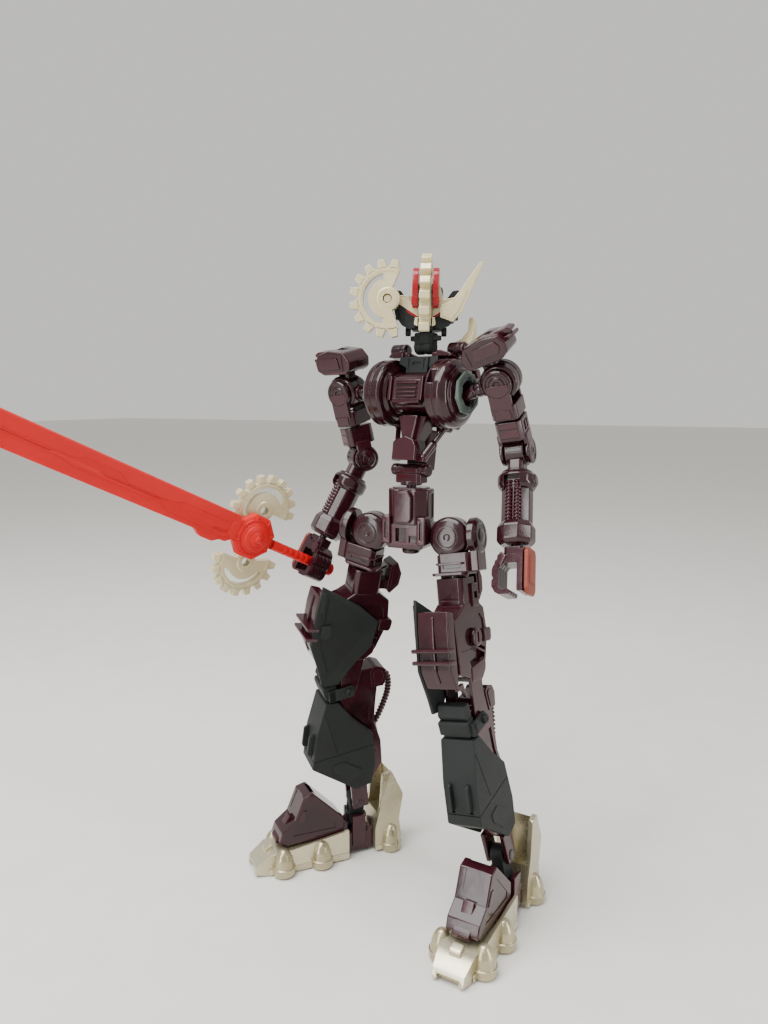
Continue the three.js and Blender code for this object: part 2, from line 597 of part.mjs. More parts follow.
// Shin armour: channel over the front and both sides, with two upright bars near its lower edge.
function buildShinArmour() {
  const outline = [
    [-7.6, -2.7], [-4, -3], [0.6, -10.5], [6, -17], [6, -28], [4, -35], [-1, -35.6], [-14, -23.6],
    [-11.6, -13],
  ];
  const shell = plate(outline, ARMOUR_WIDTH - 0.8, 'x', 0.4);
  const cavity = plate(
    [[-5.2, -1], [10, -1], [10, -46], [-4, -46], [-11, -24.6], [-8.8, -14]], ARMOUR_WIDTH - 3, 'x',
  );
  const bars = [-1, 1].map((s) => turn(
    block(s * 2.6 - 0.5, s * 2.6 + 0.5, -14.2, -10.6, -19.6, -12.6, 0.2), X, -4,
  ));
  return join(cut(shell, cavity), ...bars);
}

function buildAnkle() {
  const knuckle = rod(2.7, 3.6, 'x', 0.3);
  const stem = block(-1.8, 1.8, -2.4, 2.4, -7.4, -1, 0.3);
  const bore = rod(PIN_RADIUS + PIN_CLEARANCE, 12, 'x', 0, 8);
  const boss = move(rod(2.4, 5, 'y', 0.3), 0, 0, -7);
  const hole = move(rod(PIN_RADIUS + PIN_CLEARANCE, 12, 'y', 0, 8), 0, 0, -7);
  return cut(join(knuckle, stem, boss), bore, hole);
}

// Foot pieces sit in a frame whose origin is the roll pin; the ground is FOOT_DROP below it.
const FOOT_DROP = ANKLE_HEIGHT - 7;

function buildInstep() {
  const d = -FOOT_DROP;
  const outline = [
    [-26, d + 9.6], [-25, d + 12.4], [-21, d + 15.4], [-18, d + 22.6], [-15, d + 23.4], [-5.4, d + 14],
    [-5.2, d + 8.4], [-25, d + 8.2],
  ];
  const peak = plate(outline, FOOT_WIDTH - 2.2, 'x', 0.8);
  const sole = block(-3.6, 3.6, -6.6, 4.6, d + 1.2, d + 7.4, 0.4);
  const ears = [-1, 1].map((s) => block(-2.2, 2.2, s * 3.6 - 0.7, s * 3.6 + 0.7, d + 3, d + 13, 0.2));
  const link = block(-3, 3, -6.6, -3.4, d + 3, d + 11, 0.2);
  const pin = rod(PIN_RADIUS, 7.2, 'y', 0, 8);
  const clear = block(-5, 5, -2.85, 2.85, d + 7.8, d + 26, 0);
  return join(cut(join(peak, sole, link, ...ears), clear), pin);
}

function eggPod(x, y, r, height, base) {
  const profile = [
    [0, 0], [r * 0.8, 0], [r * 1.06, 0.7], [r * 1.06, 2], [r * 0.86, height * 0.58],
    [r * 0.5, height * 0.9], [0, height],
  ];
  return move(turned(profile, 'z', 10), x, y, base);
}

function buildToe() {
  const d = -FOOT_DROP;
  const side = [
    [-33.6, d + 1], [-33, d + 3.4], [-28.6, d + 6.6], [-4, d + 9.8], [-4, d + 0.4], [-30, d + 0.2],
  ];
  const w = FOOT_WIDTH / 2;
  const plan = [[-w * 0.72, -35], [w * 0.72, -35], [w, -23], [w, -2], [-w, -2], [-w, -23]];
  const shell = common(plate(side, FOOT_WIDTH + 4, 'x', 0), plate(plan, 60, 'z', 0));
  const pods = [
    [-1, -25], [1, -25], [-1, -13], [1, -13],
  ].map(([s, y]) => eggPod(s * (w - 0.4), y, 2.8, 7.6, d));
  const bedOutline = [[-26.6, d + 7.8], [-26.6, d + 20], [2, d + 20], [2, d], [-7, d], [-7, d + 7.8]];
  const bed = plate(bedOutline.reverse(), FOOT_WIDTH - 1.5, 'x');
  const tab = block(-1.6, 1.6, -30, -27.4, d + 4.6, d + 8, 0.3);
  return join(cut(shell, bed), ...pods, tab);
}

function buildHeel() {
  const d = -FOOT_DROP;
  const outline = [
    [5, d + 1], [12, d + 0.2], [14, d + 4], [13.2, d + 10], [14.6, d + 18], [10.6, d + 26.4],
    [7.6, d + 25.4], [6.8, d + 15], [5, d + 8],
  ];
  const shell = plate(outline, FOOT_WIDTH - 0.8, 'x', 0.5);
  const cavity = block(-4, 4, 3, 11.4, d + 12.6, d + 30, 0);
  const pods = [-1, 1].map((s) => eggPod(s * (FOOT_WIDTH / 2 - 1), 10.4, 2.7, 8, d));
  return join(cut(shell, cavity), ...pods);
}

function buildLeg(pelvis, side, name, pose) {
  const out = new THREE.Vector3(0, -side, 0);
  const swingAt = [side * (HIP_SPACING / 2 - 4.5), 0, 0];
  const hip = hinge(
    pelvis, `${name}_hip`, `${name}_hip_swing`, swingAt, X, pose.swing, pose.swing - 30,
    pose.swing + pose.swingUp,
  );
  add(hip, `hip_disc_${name}`, 'frame', buildHipDisc(), side);
  const collar = hinge(
    hip, `${name}_thigh_collar`, `${name}_hip_spread`, [side * 4.5, 0, 0], out, pose.spread,
    pose.spread - 5, pose.spread + pose.spreadUp,
  );
  add(collar, `thigh_collar_${name}`, 'frame', buildCollar(), side);
  const twist = new THREE.Vector3(0, 0, side);
  const thigh = hinge(
    collar, `${name}_thigh`, `${name}_thigh_turn`, [0, 0, -10.4], twist, pose.twist, pose.twist - 15,
    pose.twist + pose.twistUp,
  );
  add(thigh, `thigh_${name}`, 'frame', buildThigh(), side);
  add(thigh, `thigh_armour_${name}`, 'armour', buildThighArmour(), side);
  const shin = hinge(
    thigh, `${name}_shin`, `${name}_knee_bend`, [0, 0, 10.4 - THIGH_LENGTH], X, pose.knee, 2, 40,
  );
  add(shin, `shin_${name}`, 'frame', buildShin(), side);
  add(shin, `knee_cap_${name}`, 'armour', buildKneeCap(), side);
  add(shin, `shin_armour_${name}`, 'armour', buildShinArmour(), side);
  const ankle = hinge(
    shin, `${name}_ankle`, `${name}_ankle_pitch`, [0, 0, -SHIN_LENGTH], X, pose.ankle, pose.ankle - 12,
    pose.ankle + 12,
  );
  add(ankle, `ankle_${name}`, 'armour', buildAnkle(), side);
  const foot = hinge(
    ankle, `${name}_foot`, `${name}_ankle_roll`, [0, 0, -7], out, pose.roll, pose.roll - 12,
    pose.roll + 12,
  );
  add(foot, `instep_${name}`, 'frame', buildInstep(), side);
  add(foot, `toe_shell_${name}`, 'gold', buildToe(), side);
  add(foot, `heel_${name}`, 'gold', buildHeel(), side);
}

// Sword: grip runs along the hand's own Y; the hub and the guard gears sit ahead of the fist.
function buildSword(hand) {
  const sword = new THREE.Group();
  sword.name = 'sword';
  sword.position.set(1.05, 0, -8.35);
  hand.add(sword);
  const grip = join(rod(1.45, 24, 'y', 0.3, 12), move(rod(1.9, 1.6, 'y', 0.3, 12), 0, 11.2, 0));
  add(sword, 'sword_grip', 'sword', move(grip, 0, -4.8, 0));
  const hubAt = -23.7;
  const boss = turned(
    [[0, -2.4], [5.8, -2.4], [6.2, -2], [6.2, 1.8], [4.8, 2.2], [3.4, 3], [1.6, 4.2], [0, 4.2]], 'x',
    16,
  );
  const guard = turned([[0, -1.6], [6, -1.6], [6.4, -1.2], [6.4, 1.2], [6, 1.6], [0, 1.6]], 'x', 8);
  add(sword, 'sword_hub', 'sword', move(join(turn(guard, X, 22.5), boss), 0, hubAt, 0));
  const w = BLADE_WIDTH / 2;
  const tip = hubAt - BLADE_LENGTH;
  const outline = [
    [hubAt - 6.8, -w + 1], [hubAt - 10, -w - 1.4], [hubAt - 18, -w - 1.4], [hubAt - 22, -w], [tip + 16, -w],
    [tip, w - 0.4], [tip + 2, w], [hubAt - 20, w], [hubAt - 15, w + 0.8], [hubAt - 8, w + 0.8],
    [hubAt - 6.8, w - 0.4],
  ];
  add(sword, 'sword_blade', 'sword', plate(outline, 2.4, 'x', 0.7));
  const gear = (from, to) => turn(turn(buildPartGear(GUARD_GEAR_RADIUS, 16, 2, from, to), X, 90), Z, 90);
  add(sword, 'guard_gear_upper', 'cream', move(gear(0, 247.5), -3.9, hubAt + 2, 7.6));
  add(sword, 'guard_gear_lower', 'cream', move(gear(180, 382.5), -3.9, hubAt + 4, -7.6));
}

// Ankle pitch and roll that lay the sole flat for a leg pose, and how far the sole's roll pin then
// hangs below the hip axle.
function levelled(side, pose) {
  const spin = (axis, degrees) => {
    const angle = THREE.MathUtils.degToRad(degrees);
    return new THREE.Matrix4().makeRotationAxis(axis, angle);
  };
  const hip = spin(X, pose.swing).multiply(spin(Y, -side * pose.spread));
  const thigh = hip.multiply(spin(Z, side * pose.twist));
  const shin = thigh.clone().multiply(spin(X, pose.knee));
  const up = Z.clone().applyMatrix4(shin.clone().invert());
  const pitch = THREE.MathUtils.radToDeg(Math.atan2(-up.y, up.z));
  const roll = -side * THREE.MathUtils.radToDeg(Math.asin(up.x));
  const stem = shin.clone().multiply(spin(X, pitch));
  const drop = -(new THREE.Vector3(0, 0, -THIGH_LENGTH).applyMatrix4(thigh).z
    + new THREE.Vector3(0, 0, -SHIN_LENGTH).applyMatrix4(shin).z
    + new THREE.Vector3(0, 0, -7).applyMatrix4(stem).z);
  return { ...pose, ankle: pitch, roll, drop };
}

// Bends the knee until the leg reaches down exactly as far as the other one, so both soles touch.
function sameDrop(side, pose, drop) {
  let low = 0;
  let high = 60;
  for (let i = 0; i < 40; i += 1) {
    const knee = (low + high) / 2;
    if (levelled(side, { ...pose, knee }).drop > drop) {
      low = knee;
    } else {
      high = knee;
    }
  }
  return levelled(side, { ...pose, knee: low });
}

// Assembly: the striding pose is the rest pose of every joint.
const pelvis = new THREE.Group();
pelvis.name = 'pelvis';
root.add(pelvis);
add(pelvis, 'pelvis_block', 'frame', buildPelvis());
const LEFT_LEG = levelled(
  1, { swing: -7.8, spread: 9, spreadUp: 14, swingUp: 20, twistUp: 15, twist: -6, knee: 17.8 },
);
const RIGHT_LEG = sameDrop(
  -1, { swing: 1.5, spread: 12.5, spreadUp: 3, swingUp: 4, twistUp: 6, twist: 39.4 }, LEFT_LEG.drop,
);
buildLeg(pelvis, 1, 'left', LEFT_LEG);
buildLeg(pelvis, -1, 'right', RIGHT_LEG);

const waist = hinge(pelvis, 'waist', 'waist_turn', [0, 0, WAIST_HEIGHT], Z, -10, -40, -7);
add(waist, 'waist_bar', 'frame', buildWaist());
const trunk = hinge(waist, 'trunk', 'trunk_tilt', [0, 0, 2.2], X, -10, -14, 4);
add(trunk, 'abdomen', 'frame', buildAbdomen());
const chest = new THREE.Group();
chest.position.set(0, 0, CHEST_RISE);
trunk.add(chest);
add(chest, 'chest_drum', 'frame', buildChestDrum());
for (const side of [-1, 1]) {
  const ring = move(buildDrumRing(), DRUM_LENGTH / 2 + 1.1, 0, 0);
  add(chest, side > 0 ? 'drum_ring_left' : 'drum_ring_right', 'ring', ring, side);
}
add(chest, 'yoke', 'frame', buildYoke());
add(chest, 'collar_horn', 'cream', buildCollarHorn());

const LEFT_ARM = {
  shrug: 21.5, swing: 32.6, raise: -14.5, turn: 1.5, cap: 0, elbow: -44.9, wrist: -2.4,
  shrugDown: 4, turnDown: 10, elbowHigh: -10, wristLow: -60, wristHigh: 60,
};
const RIGHT_ARM = {
  shrug: 4, swing: 22.7, raise: -9.5, turn: 28.7, cap: -4, elbow: -41.7, wrist: -18.5,
  shrugDown: 1, turnDown: 5, elbowHigh: -34, wristLow: -30, wristHigh: -6,
};
buildArm(chest, 1, 'left', LEFT_ARM);
buildSword(buildArm(chest, -1, 'right', RIGHT_ARM));

const neck = hinge(chest, 'neck', 'neck_nod', [0, 0.6, 12.9], X, 8, -6, 20);
add(neck, 'neck_column', 'armour', buildNeck());
const head = hinge(neck, 'head', 'head_turn', [0, 0, 4], Z, 30, -30, 50);
add(head, 'helmet', 'armour', buildHelmet());
add(head, 'crest_gear', 'cream', buildCrest());
add(head, 'face_plate_left', 'red', buildFacePlate(), 1);
add(head, 'face_plate_right', 'red', buildFacePlate(), -1);
add(head, 'head_fin', 'cream', buildFin());
add(head, 'brow', 'cream', buildBrow());
const gearAxis = new THREE.Vector3(0, 1, 0);
const sideGear = hinge(head, 'side_gear', 'side_gear_turn', [-10, -5.6, 8], gearAxis, 0, -20, 20);
add(sideGear, 'side_gear', 'cream', buildSideGear());

// Stand the figure on its soles with the middle of its outline over the origin.
root.updateMatrixWorld(true);
const box = new THREE.Box3().setFromObject(root, true);
root.position.set(-(box.min.x + box.max.x) / 2, -(box.min.y + box.max.y) / 2, -box.min.z);
root.updateMatrixWorld(true);

export default root;
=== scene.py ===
"""The looks of a posable inner-frame walking machine figure with a gear crest and a long red sword.

Every piece is drawn in the millimetres of its own body, whose place and axes come from the joints,
and stands in for the plain solid that the frame holds there.
"""
import json
import math

import bmesh
import bpy
from mathutils import Matrix, Quaternion, Vector


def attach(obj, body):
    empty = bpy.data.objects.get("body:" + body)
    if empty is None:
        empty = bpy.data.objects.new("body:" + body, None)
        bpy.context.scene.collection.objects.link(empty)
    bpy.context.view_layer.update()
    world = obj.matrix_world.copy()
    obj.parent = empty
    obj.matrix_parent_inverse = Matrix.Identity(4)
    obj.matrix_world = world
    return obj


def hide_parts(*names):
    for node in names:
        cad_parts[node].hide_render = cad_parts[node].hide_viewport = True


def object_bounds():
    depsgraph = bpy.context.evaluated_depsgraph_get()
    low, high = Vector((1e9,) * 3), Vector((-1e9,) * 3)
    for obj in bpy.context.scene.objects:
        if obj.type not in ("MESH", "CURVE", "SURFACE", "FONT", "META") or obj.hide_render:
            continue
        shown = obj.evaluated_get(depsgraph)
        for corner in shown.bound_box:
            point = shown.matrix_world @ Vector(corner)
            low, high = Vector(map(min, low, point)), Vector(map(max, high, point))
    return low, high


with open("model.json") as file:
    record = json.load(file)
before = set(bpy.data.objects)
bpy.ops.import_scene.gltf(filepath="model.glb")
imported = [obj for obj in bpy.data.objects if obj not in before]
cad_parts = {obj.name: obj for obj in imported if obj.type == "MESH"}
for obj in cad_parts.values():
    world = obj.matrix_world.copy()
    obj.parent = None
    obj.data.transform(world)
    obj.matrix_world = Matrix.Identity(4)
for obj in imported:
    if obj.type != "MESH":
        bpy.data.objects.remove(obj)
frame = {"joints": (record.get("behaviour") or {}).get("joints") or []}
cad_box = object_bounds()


# Pelvis. A hollow two-part barrel of polished maroon ABS with moulded panel steps, pressed on the
# hip axle. The round peg below takes a display stand.
MM = 0.001
JOINTS = {joint["name"]: joint for joint in frame["joints"]}


def spot(joint):
    """Where a joint is, in metres."""
    return Vector(JOINTS[joint]["pos_m"])


def line(joint, sign=1):
    """A joint's axis, turned round where the sign is negative."""
    return Vector(JOINTS[joint]["axis"]).normalized() * sign


def seat(at, x=None, y=None, z=None, side=1):
    """From a body's own millimetres to the shared frame, from two of its axes. Side -1 mirrors X."""
    x = x or y.cross(z)
    y = y or z.cross(x)
    z = z or x.cross(y)
    turned_axes = Matrix((x, y, z)).transposed().to_4x4()
    return Matrix.Translation(at) @ turned_axes @ Matrix.Diagonal((side * MM, MM, MM, 1))


def softened(shape, width, least=25):
    """Rounds every edge sharper than the least angle, as a mould's edges are."""
    edges = [edge for edge in shape.edges if edge.calc_face_angle(0) > math.radians(least)]
    if width > 0 and edges:
        bmesh.ops.bevel(shape, geom=edges, offset=width, segments=2, profile=0.5, affect="EDGES",
                        clamp_overlap=True)
    return shape


PLACE = {"x": lambda u, v, t: (t, u, v), "y": lambda u, v, t: (u, t, v), "z": lambda u, v, t: (u, v, t)}


def slab(outline, low, high, axis, edge=0.25):
    """A flat outline made thick from low to high along an axis."""
    shape = bmesh.new()
    ends = [[shape.verts.new(PLACE[axis](u, v, t)) for u, v in outline] for t in (low, high)]
    shape.faces.new(ends[0])
    shape.faces.new(ends[1])
    for i in range(len(outline)):
        shape.faces.new((ends[0][i - 1], ends[1][i - 1], ends[1][i], ends[0][i]))
    bmesh.ops.recalc_face_normals(shape, faces=shape.faces)
    return softened(shape, edge)


def brick(x0, x1, y0, y1, z0, z1, edge=0.25):
    return slab([(x0, y0), (x1, y0), (x1, y1), (x0, y1)], z0, z1, "z", edge)


def twins(x, half, *rest):
    """The same block on the left and on the right."""
    return [brick(s * x - half, s * x + half, *rest) for s in (-1, 1)]


def wings(outline, *rest):
    """The same upright plate on the left and, mirrored, on the right."""
    return [slab([(s * u, v) for u, v in outline], *rest) for s in (-1, 1)]


def both_sides(outline, inner, outer, edge=0.15):
    """The same thin plate on the two outer faces of a limb."""
    return [slab(outline, *sorted((s * inner, s * outer)), "x", edge) for s in (-1, 1)]


def prism(width, depth, corner, z0, z1, edge=0.25, at=(0, 0)):
    """An upright block whose four upright edges are cut back."""
    w, d, c = width / 2, depth / 2, corner
    plan = [(w, c - d), (w, d - c), (w - c, d), (c - w, d), (-w, d - c), (-w, c - d), (c - w, -d),
            (w - c, -d)]
    return slab([(u + at[0], v + at[1]) for u, v in plan], z0, z1, "z", edge)


def eased(points, radius, closed=False):
    """Rounds the corners of a line of points. The two ends of an open line stay."""
    out = []
    last = len(points) - 1
    for i, point in enumerate(points):
        if not closed and i in (0, last):
            out.append(point)
            continue
        here = Vector(point)
        before = Vector(points[i - 1]) - here
        after = Vector(points[(i + 1) % len(points)]) - here
        reach = min(radius, 0.45 * before.length, 0.45 * after.length)
        first = here + before.normalized() * reach
        second = here + after.normalized() * reach
        for t in (0, 0.33, 0.67, 1):
            out.append(tuple(first * (1 - t) ** 2 + here * 2 * t * (1 - t) + second * t ** 2))
    return out


def turned(profile, axis, ease=0.25, steps=56):
    """A shape turned on a lathe from (radius, place) points that start and end on the axis."""
    shape = bmesh.new()
    rings = []
    for radius, height in eased(profile, ease) if ease else profile:
        if radius < 1e-6:
            rings.append([shape.verts.new(PLACE[axis](0, 0, height))])
            continue
        angles = [2 * math.pi * i / steps for i in range(steps)]
        rings.append([shape.verts.new(PLACE[axis](radius * math.cos(a), radius * math.sin(a),
                                                  height)) for a in angles])
    for low, high in zip(rings, rings[1:]):
        for i in range(steps):
            j = (i + 1) % steps
            corners = [low[i % len(low)], low[j % len(low)], high[j % len(high)], high[i % len(high)]]
            shape.faces.new(list(dict.fromkeys(corners)))
    bmesh.ops.recalc_face_normals(shape, faces=shape.faces)
    return shape


def flip(profile):
    """A lathe profile seen from its other end."""
    return [(radius, -height) for radius, height in reversed(profile)]


def rod(radius, low, high, axis, ease=0.25, steps=40):
    return turned([(0, low), (radius, low), (radius, high), (0, high)], axis, ease, steps)


def at(shape, x=0, y=0, z=0):
    bmesh.ops.translate(shape, vec=(x, y, z), verts=shape.verts)
    return shape


def spun(shape, axis, degrees):
    bmesh.ops.rotate(shape, cent=(0, 0, 0), matrix=Matrix.Rotation(math.radians(degrees), 3, axis),
                     verts=shape.verts)
    return shape


def between(radii, start, end, ease=0.2):
    """A stepped round bar from one point to another, from (radius, share of the way) points."""
    run = Vector(end) - Vector(start)
    shape = turned([(0, radii[0][1] * run.length)] + [(r, t * run.length) for r,
                                                      t in radii] + [(0, radii[-1][1] * run.length)], "z",
                                                      ease, 32)
    shape.transform(Matrix.Translation(start) @ run.to_track_quat("Z", "Y").to_matrix().to_4x4())
    return shape


def placed(name, data):
    """A new object in the scene that shows this data."""
    holder = bpy.data.objects.new(name, data)
    bpy.context.scene.collection.objects.link(holder)
    return holder


def loose(shape, name="loose"):
    """A shape as an object of its own."""
    mesh = bpy.data.meshes.new(name)
    shape.to_mesh(mesh)
    shape.free()
    return placed(name, mesh)


def carved(shape, *tools, edge=0.15):
    """A shape with others cut out of it. The cut's edges are rounded too."""
    body = loose(shape)
    cutters = [loose(tool) for tool in tools]
    for cutter in cutters:
        cut = body.modifiers.new("cut", "BOOLEAN")
        cut.operation, cut.solver, cut.object = "DIFFERENCE", "EXACT", cutter
    result = bmesh.new()
    result.from_mesh(body.evaluated_get(bpy.context.evaluated_depsgraph_get()).to_mesh())
    for holder in [body, *cutters]:
        bpy.data.meshes.remove(holder.data)
    bmesh.ops.dissolve_limit(result, angle_limit=math.radians(1), verts=result.verts, edges=result.edges)
    return softened(result, edge, 40)


def frozen(piece):
    """The piece's mesh with its modifiers applied."""
    graph = bpy.context.evaluated_depsgraph_get()
    return bpy.data.meshes.new_from_object(piece.evaluated_get(graph), depsgraph=graph)


def settle(piece, body, nodes=()):
    """Gives a finished mesh flat faces beside round edges, then ties it to its body."""
    piece.data.shade_smooth()
    piece.data.set_sharp_from_angle(angle=math.radians(38))
    flat = piece.modifiers.new("flat faces", "WEIGHTED_NORMAL")
    flat.keep_sharp = True
    even = frozen(piece)
    piece.modifiers.remove(flat)
    piece.data = even
    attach(piece, body)
    if nodes:
        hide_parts(*nodes)


def merged(shapes):
    """Several shapes as one."""
    whole = bmesh.new()
    for shape in shapes:
        part = bpy.data.meshes.new("part")
        shape.to_mesh(part)
        shape.free()
        whole.from_mesh(part)
        bpy.data.meshes.remove(part)
    return whole


def mould(name, body, place, shapes, finish, nodes=()):
    """One moulded piece from its shapes, in the place, body and finish it has."""
    whole = merged(shapes)
    whole.transform(place)
    if place.determinant() < 0:
        bmesh.ops.reverse_faces(whole, faces=whole.faces)
    piece = loose(whole, name)
    piece.data.materials.append(finish[0])
    settle(piece, body, nodes)


def colour(hex_code):
    """An sRGB hex value as linear light."""
    shares = [int(hex_code[i:i + 2], 16) / 255 for i in (0, 2, 4)]
    return tuple(s / 12.92 if s <= 0.04045 else ((s + 0.055) / 1.055) ** 2.4 for s in shares) + (1,)


def wire(tree, kind, inputs=None, **settings):
    """Adds a node with its settings, and fills or links its inputs."""
    node = tree.nodes.new(kind)
    for key, value in settings.items():
        setattr(node, key, value)
    for key, value in (inputs or {}).items():
        if isinstance(value, bpy.types.NodeSocket):
            tree.links.new(value, node.inputs[key])
        else:
            node.inputs[key].default_value = value
    return node


def empty_material(name):
    """A material with nothing in its tree but the object's own coordinates."""
    material = bpy.data.materials.new(name)
    material.use_nodes = True
    material.node_tree.nodes.clear()
    return material, material.node_tree, wire(material.node_tree, "ShaderNodeTexCoord").outputs["Object"]


def noise(tree, place, size_mm, **inputs):
    """Cloudy noise whose patches have this size."""
    return wire(tree, "ShaderNodeTexNoise", {"Vector": place, "Scale": 1 / (size_mm * MM),
                                             **inputs}).outputs["Fac"]


def blend(tree, share, first, second):
    return wire(tree, "ShaderNodeMix", {0: share, 6: first, 7: second}, data_type="RGBA").outputs[2]


def stretch(tree, value, start, end, low, high):
    """Turns a value's run from start to end into one from low to high."""
    return wire(tree, "ShaderNodeMapRange", {
        "Value": value, "From Min": start, "From Max": end, "To Min": low, "To Max": high}).outputs[0]


def surfaced(tree, base, rub_and_highlight, wear_and_highlight_ramp, patches, rough, height, strength, depth_mm, shader):
    """Lightens the sharp edges, partly as rubbed wear and partly as a painted highlight, then adds uneven
    gloss and a fine skin, and ends the tree.
    """
    pointiness = wire(tree, "ShaderNodeNewGeometry").outputs["Pointiness"]
    skin = wire(tree, "ShaderNodeBump", {"Height": height, "Strength": strength, "Distance": depth_mm * MM})
    # Base colour: the sharp edges, found by pointiness, are blended towards the rub colour, partly as wear
    # and partly as a painted highlight.
    surface = wire(tree, "ShaderNodeBsdfPrincipled", {
        "Base Color": blend(tree, stretch(tree, pointiness, *wear_and_highlight_ramp), base, colour(rub_and_highlight)),
        "Roughness": stretch(tree, patches, 0.3, 0.7, *rough), "Normal": skin.outputs[0], **shader})
    wire(tree, "ShaderNodeOutputMaterial", {"Surface": surface.outputs[0]})


def plastic(name, deep, light, rough, flow_mm, grain_mm, grain_depth_mm, rub_and_highlight, **shader):
    """A moulded plastic: colour that drifts as the melt flowed, and a skin as the mould was finished."""
    material, tree, place = empty_material(name)
    tint = blend(tree, noise(tree, place, flow_mm, Detail=3), colour(deep), colour(light))
    grain = noise(tree, place, grain_mm, Detail=4, Roughness=0.6)
    # The sharp edges lighten up to 35% towards the rub colour: partly rubbed wear, partly a painted
    # highlight.
    surfaced(tree, tint, rub_and_highlight, (0.52, 0.62, 0, 0.35), grain, rough, grain, 0.6, grain_depth_mm, shader)
    return material


# Polished ABS, injection moulded: a deep wet-looking maroon with faint flow ripples.
MAROON = (plastic("polished_maroon_abs", "1a070d", "2e0c15", (0.1, 0.2), 9, 2.2, 0.03, rub_and_highlight="5a2430", IOR=1.53,
                  **{"Coat Weight": 0.12, "Coat Roughness": 0.06, "Specular IOR Level": 0.36}),
          "frame_plastic")
PIN = 1.1
pelvis = seat((spot("left_hip_swing") + spot("right_hip_swing")) / 2, x=Vector((1, 0, 0)),
              y=Vector((0, 1, 0)))
barrel = carved(
    prism(12, 9.4, 2.6, 3, 12.8, 0.5),
    *twins(1.3, 0.2, -6, -4.2, 4, 13, 0),
    *twins(6, 0.35, -1.6, 1.6, 5, 11.5, 0))
mould("pelvis_moulding", "pelvis", pelvis, [
    barrel,
    prism(9.6, 7.4, 1.8, 12, 13.2, 0.3),
    slab([(-2.6, 5), (-1.8, 3.8), (1.8, 3.8), (2.6, 5), (2.6, 11), (1.6, 12.6), (-1.6, 12.6), (-2.6, 11)],
         -6, -3, "y", 0.4),
    carved(slab([(-5, -3.4), (5, -3.4), (6, -1.5), (6, 3.4), (-6, 3.4), (-6, -1.5)], -4.6, 4.6, "y", 0.3),
           brick(-2.6, 0.6, -6, -3.4, -1.6, 2.2, 0), brick(1.4, 3.6, -6, -4, -1.6, 0.2, 0)),
    *[carved(brick(s * 5.2 - 1.3, s * 5.2 + 1.3, -5.4, -1.2, -2.2, 5.6, 0.4),
             brick(s * 5.2 - 0.35, s * 5.2 + 0.35, -6, -4.8, -0.6, 4, 0))
      for s in (-1, 1)],
    *[rod(1.9, s * 6.45 - 0.5, s * 6.45 + 0.5, "x", 0.2) for s in (-1, 1)],
    rod(PIN, -8, 8, "x"),
    turned([(0, -5.2), (2.2, -5.2), (2.5, -4.8), (2.5, -4.1), (2.3, -4), (2.3, -3.7), (2.5, -3.6), (2.5, -2),
            (0, -2)], "z", 0.15),
], MAROON, ["pelvis_block"])


# Waist. A swivel post, its collar and the thick cross bar that the trunk rocks on, in one moulding
# of the same maroon ABS, with turned grooves near the bar's ends.
waist = seat(spot("waist_turn"), x=line("trunk_tilt"), z=line("waist_turn"))
BAR = [(0, -6), (1.35, -6), (1.7, -5.6), (1.7, -4.3), (1.45, -4.2), (1.45, -3.8), (1.7, -3.7)]
mould("waist_moulding", "waist", waist, [
    rod(1.35, -5, -0.5, "z"), rod(3, -1.8, -0.6, "z"), prism(8.4, 4.8, 0.8, -1.2, 1.4),
    at(turned(BAR + flip(BAR), "x", 0.12), z=2.2),
    at(prism(7, 3.9, 0.6, 1.2, 2.9), y=0.2),
], MAROON, ["waist_bar"])


# Trunk. A tapering column with a five-sided cover hooked over the waist bar, moulded with the rear
# spine. Two stepped dummy pistons lean out and back to the chest.
trunk = seat(spot("trunk_tilt"), x=line("trunk_tilt"), y=line("left_shoulder_shrug", -1))
BAR_SOCKET = 2.05
cover = slab([(-3.8, 2.3), (3.8, 2.3), (3.8, 6), (2.6, 7.9), (0, 8.8), (-2.6, 7.9), (-3.8, 6)], -4.8, -2.2,
             "y", 0.4)
mould("abdomen_moulding", "trunk", trunk, [
    carved(slab([(-2.4, 2.6), (2.4, 2.6), (3.2, 5), (2.6, 8), (4.6, 14.6), (-4.6, 14.6), (-2.6, 8),
                 (-3.2, 5)], -2.4, 2.8, "y", 0.3),
           rod(BAR_SOCKET, -12, 12, "x", 0)),
    cover,
    slab([(-1.5, 7.5), (1.5, 7.5), (2.7, 14.6), (-2.7, 14.6)], -3.7, -1.6, "y", 0.5),
    carved(brick(-3.4, 3.4, 2, 6.4, 0.6, 11.6, 0.4), rod(BAR_SOCKET, -12, 12, "x", 0),
           *[brick(-2.2, 2.2, 5.9, 7, z, z + 0.5, 0) for z in (3, 5, 7, 9)]),
    *twins(4.3, 1, -2.6, -0.7, 2.2, 4.4, 0.3),
    *[between([(1.25, 0), (1.25, 0.42), (1.0, 0.46), (0.72, 0.48), (0.72, 0.86), (1.1, 0.88), (1.1, 1)],
              (s * 4.3, -1.7, 3), (s * 8.2, 3.2, 13.2)) for s in (-1, 1)],
], MAROON, ["abdomen"])


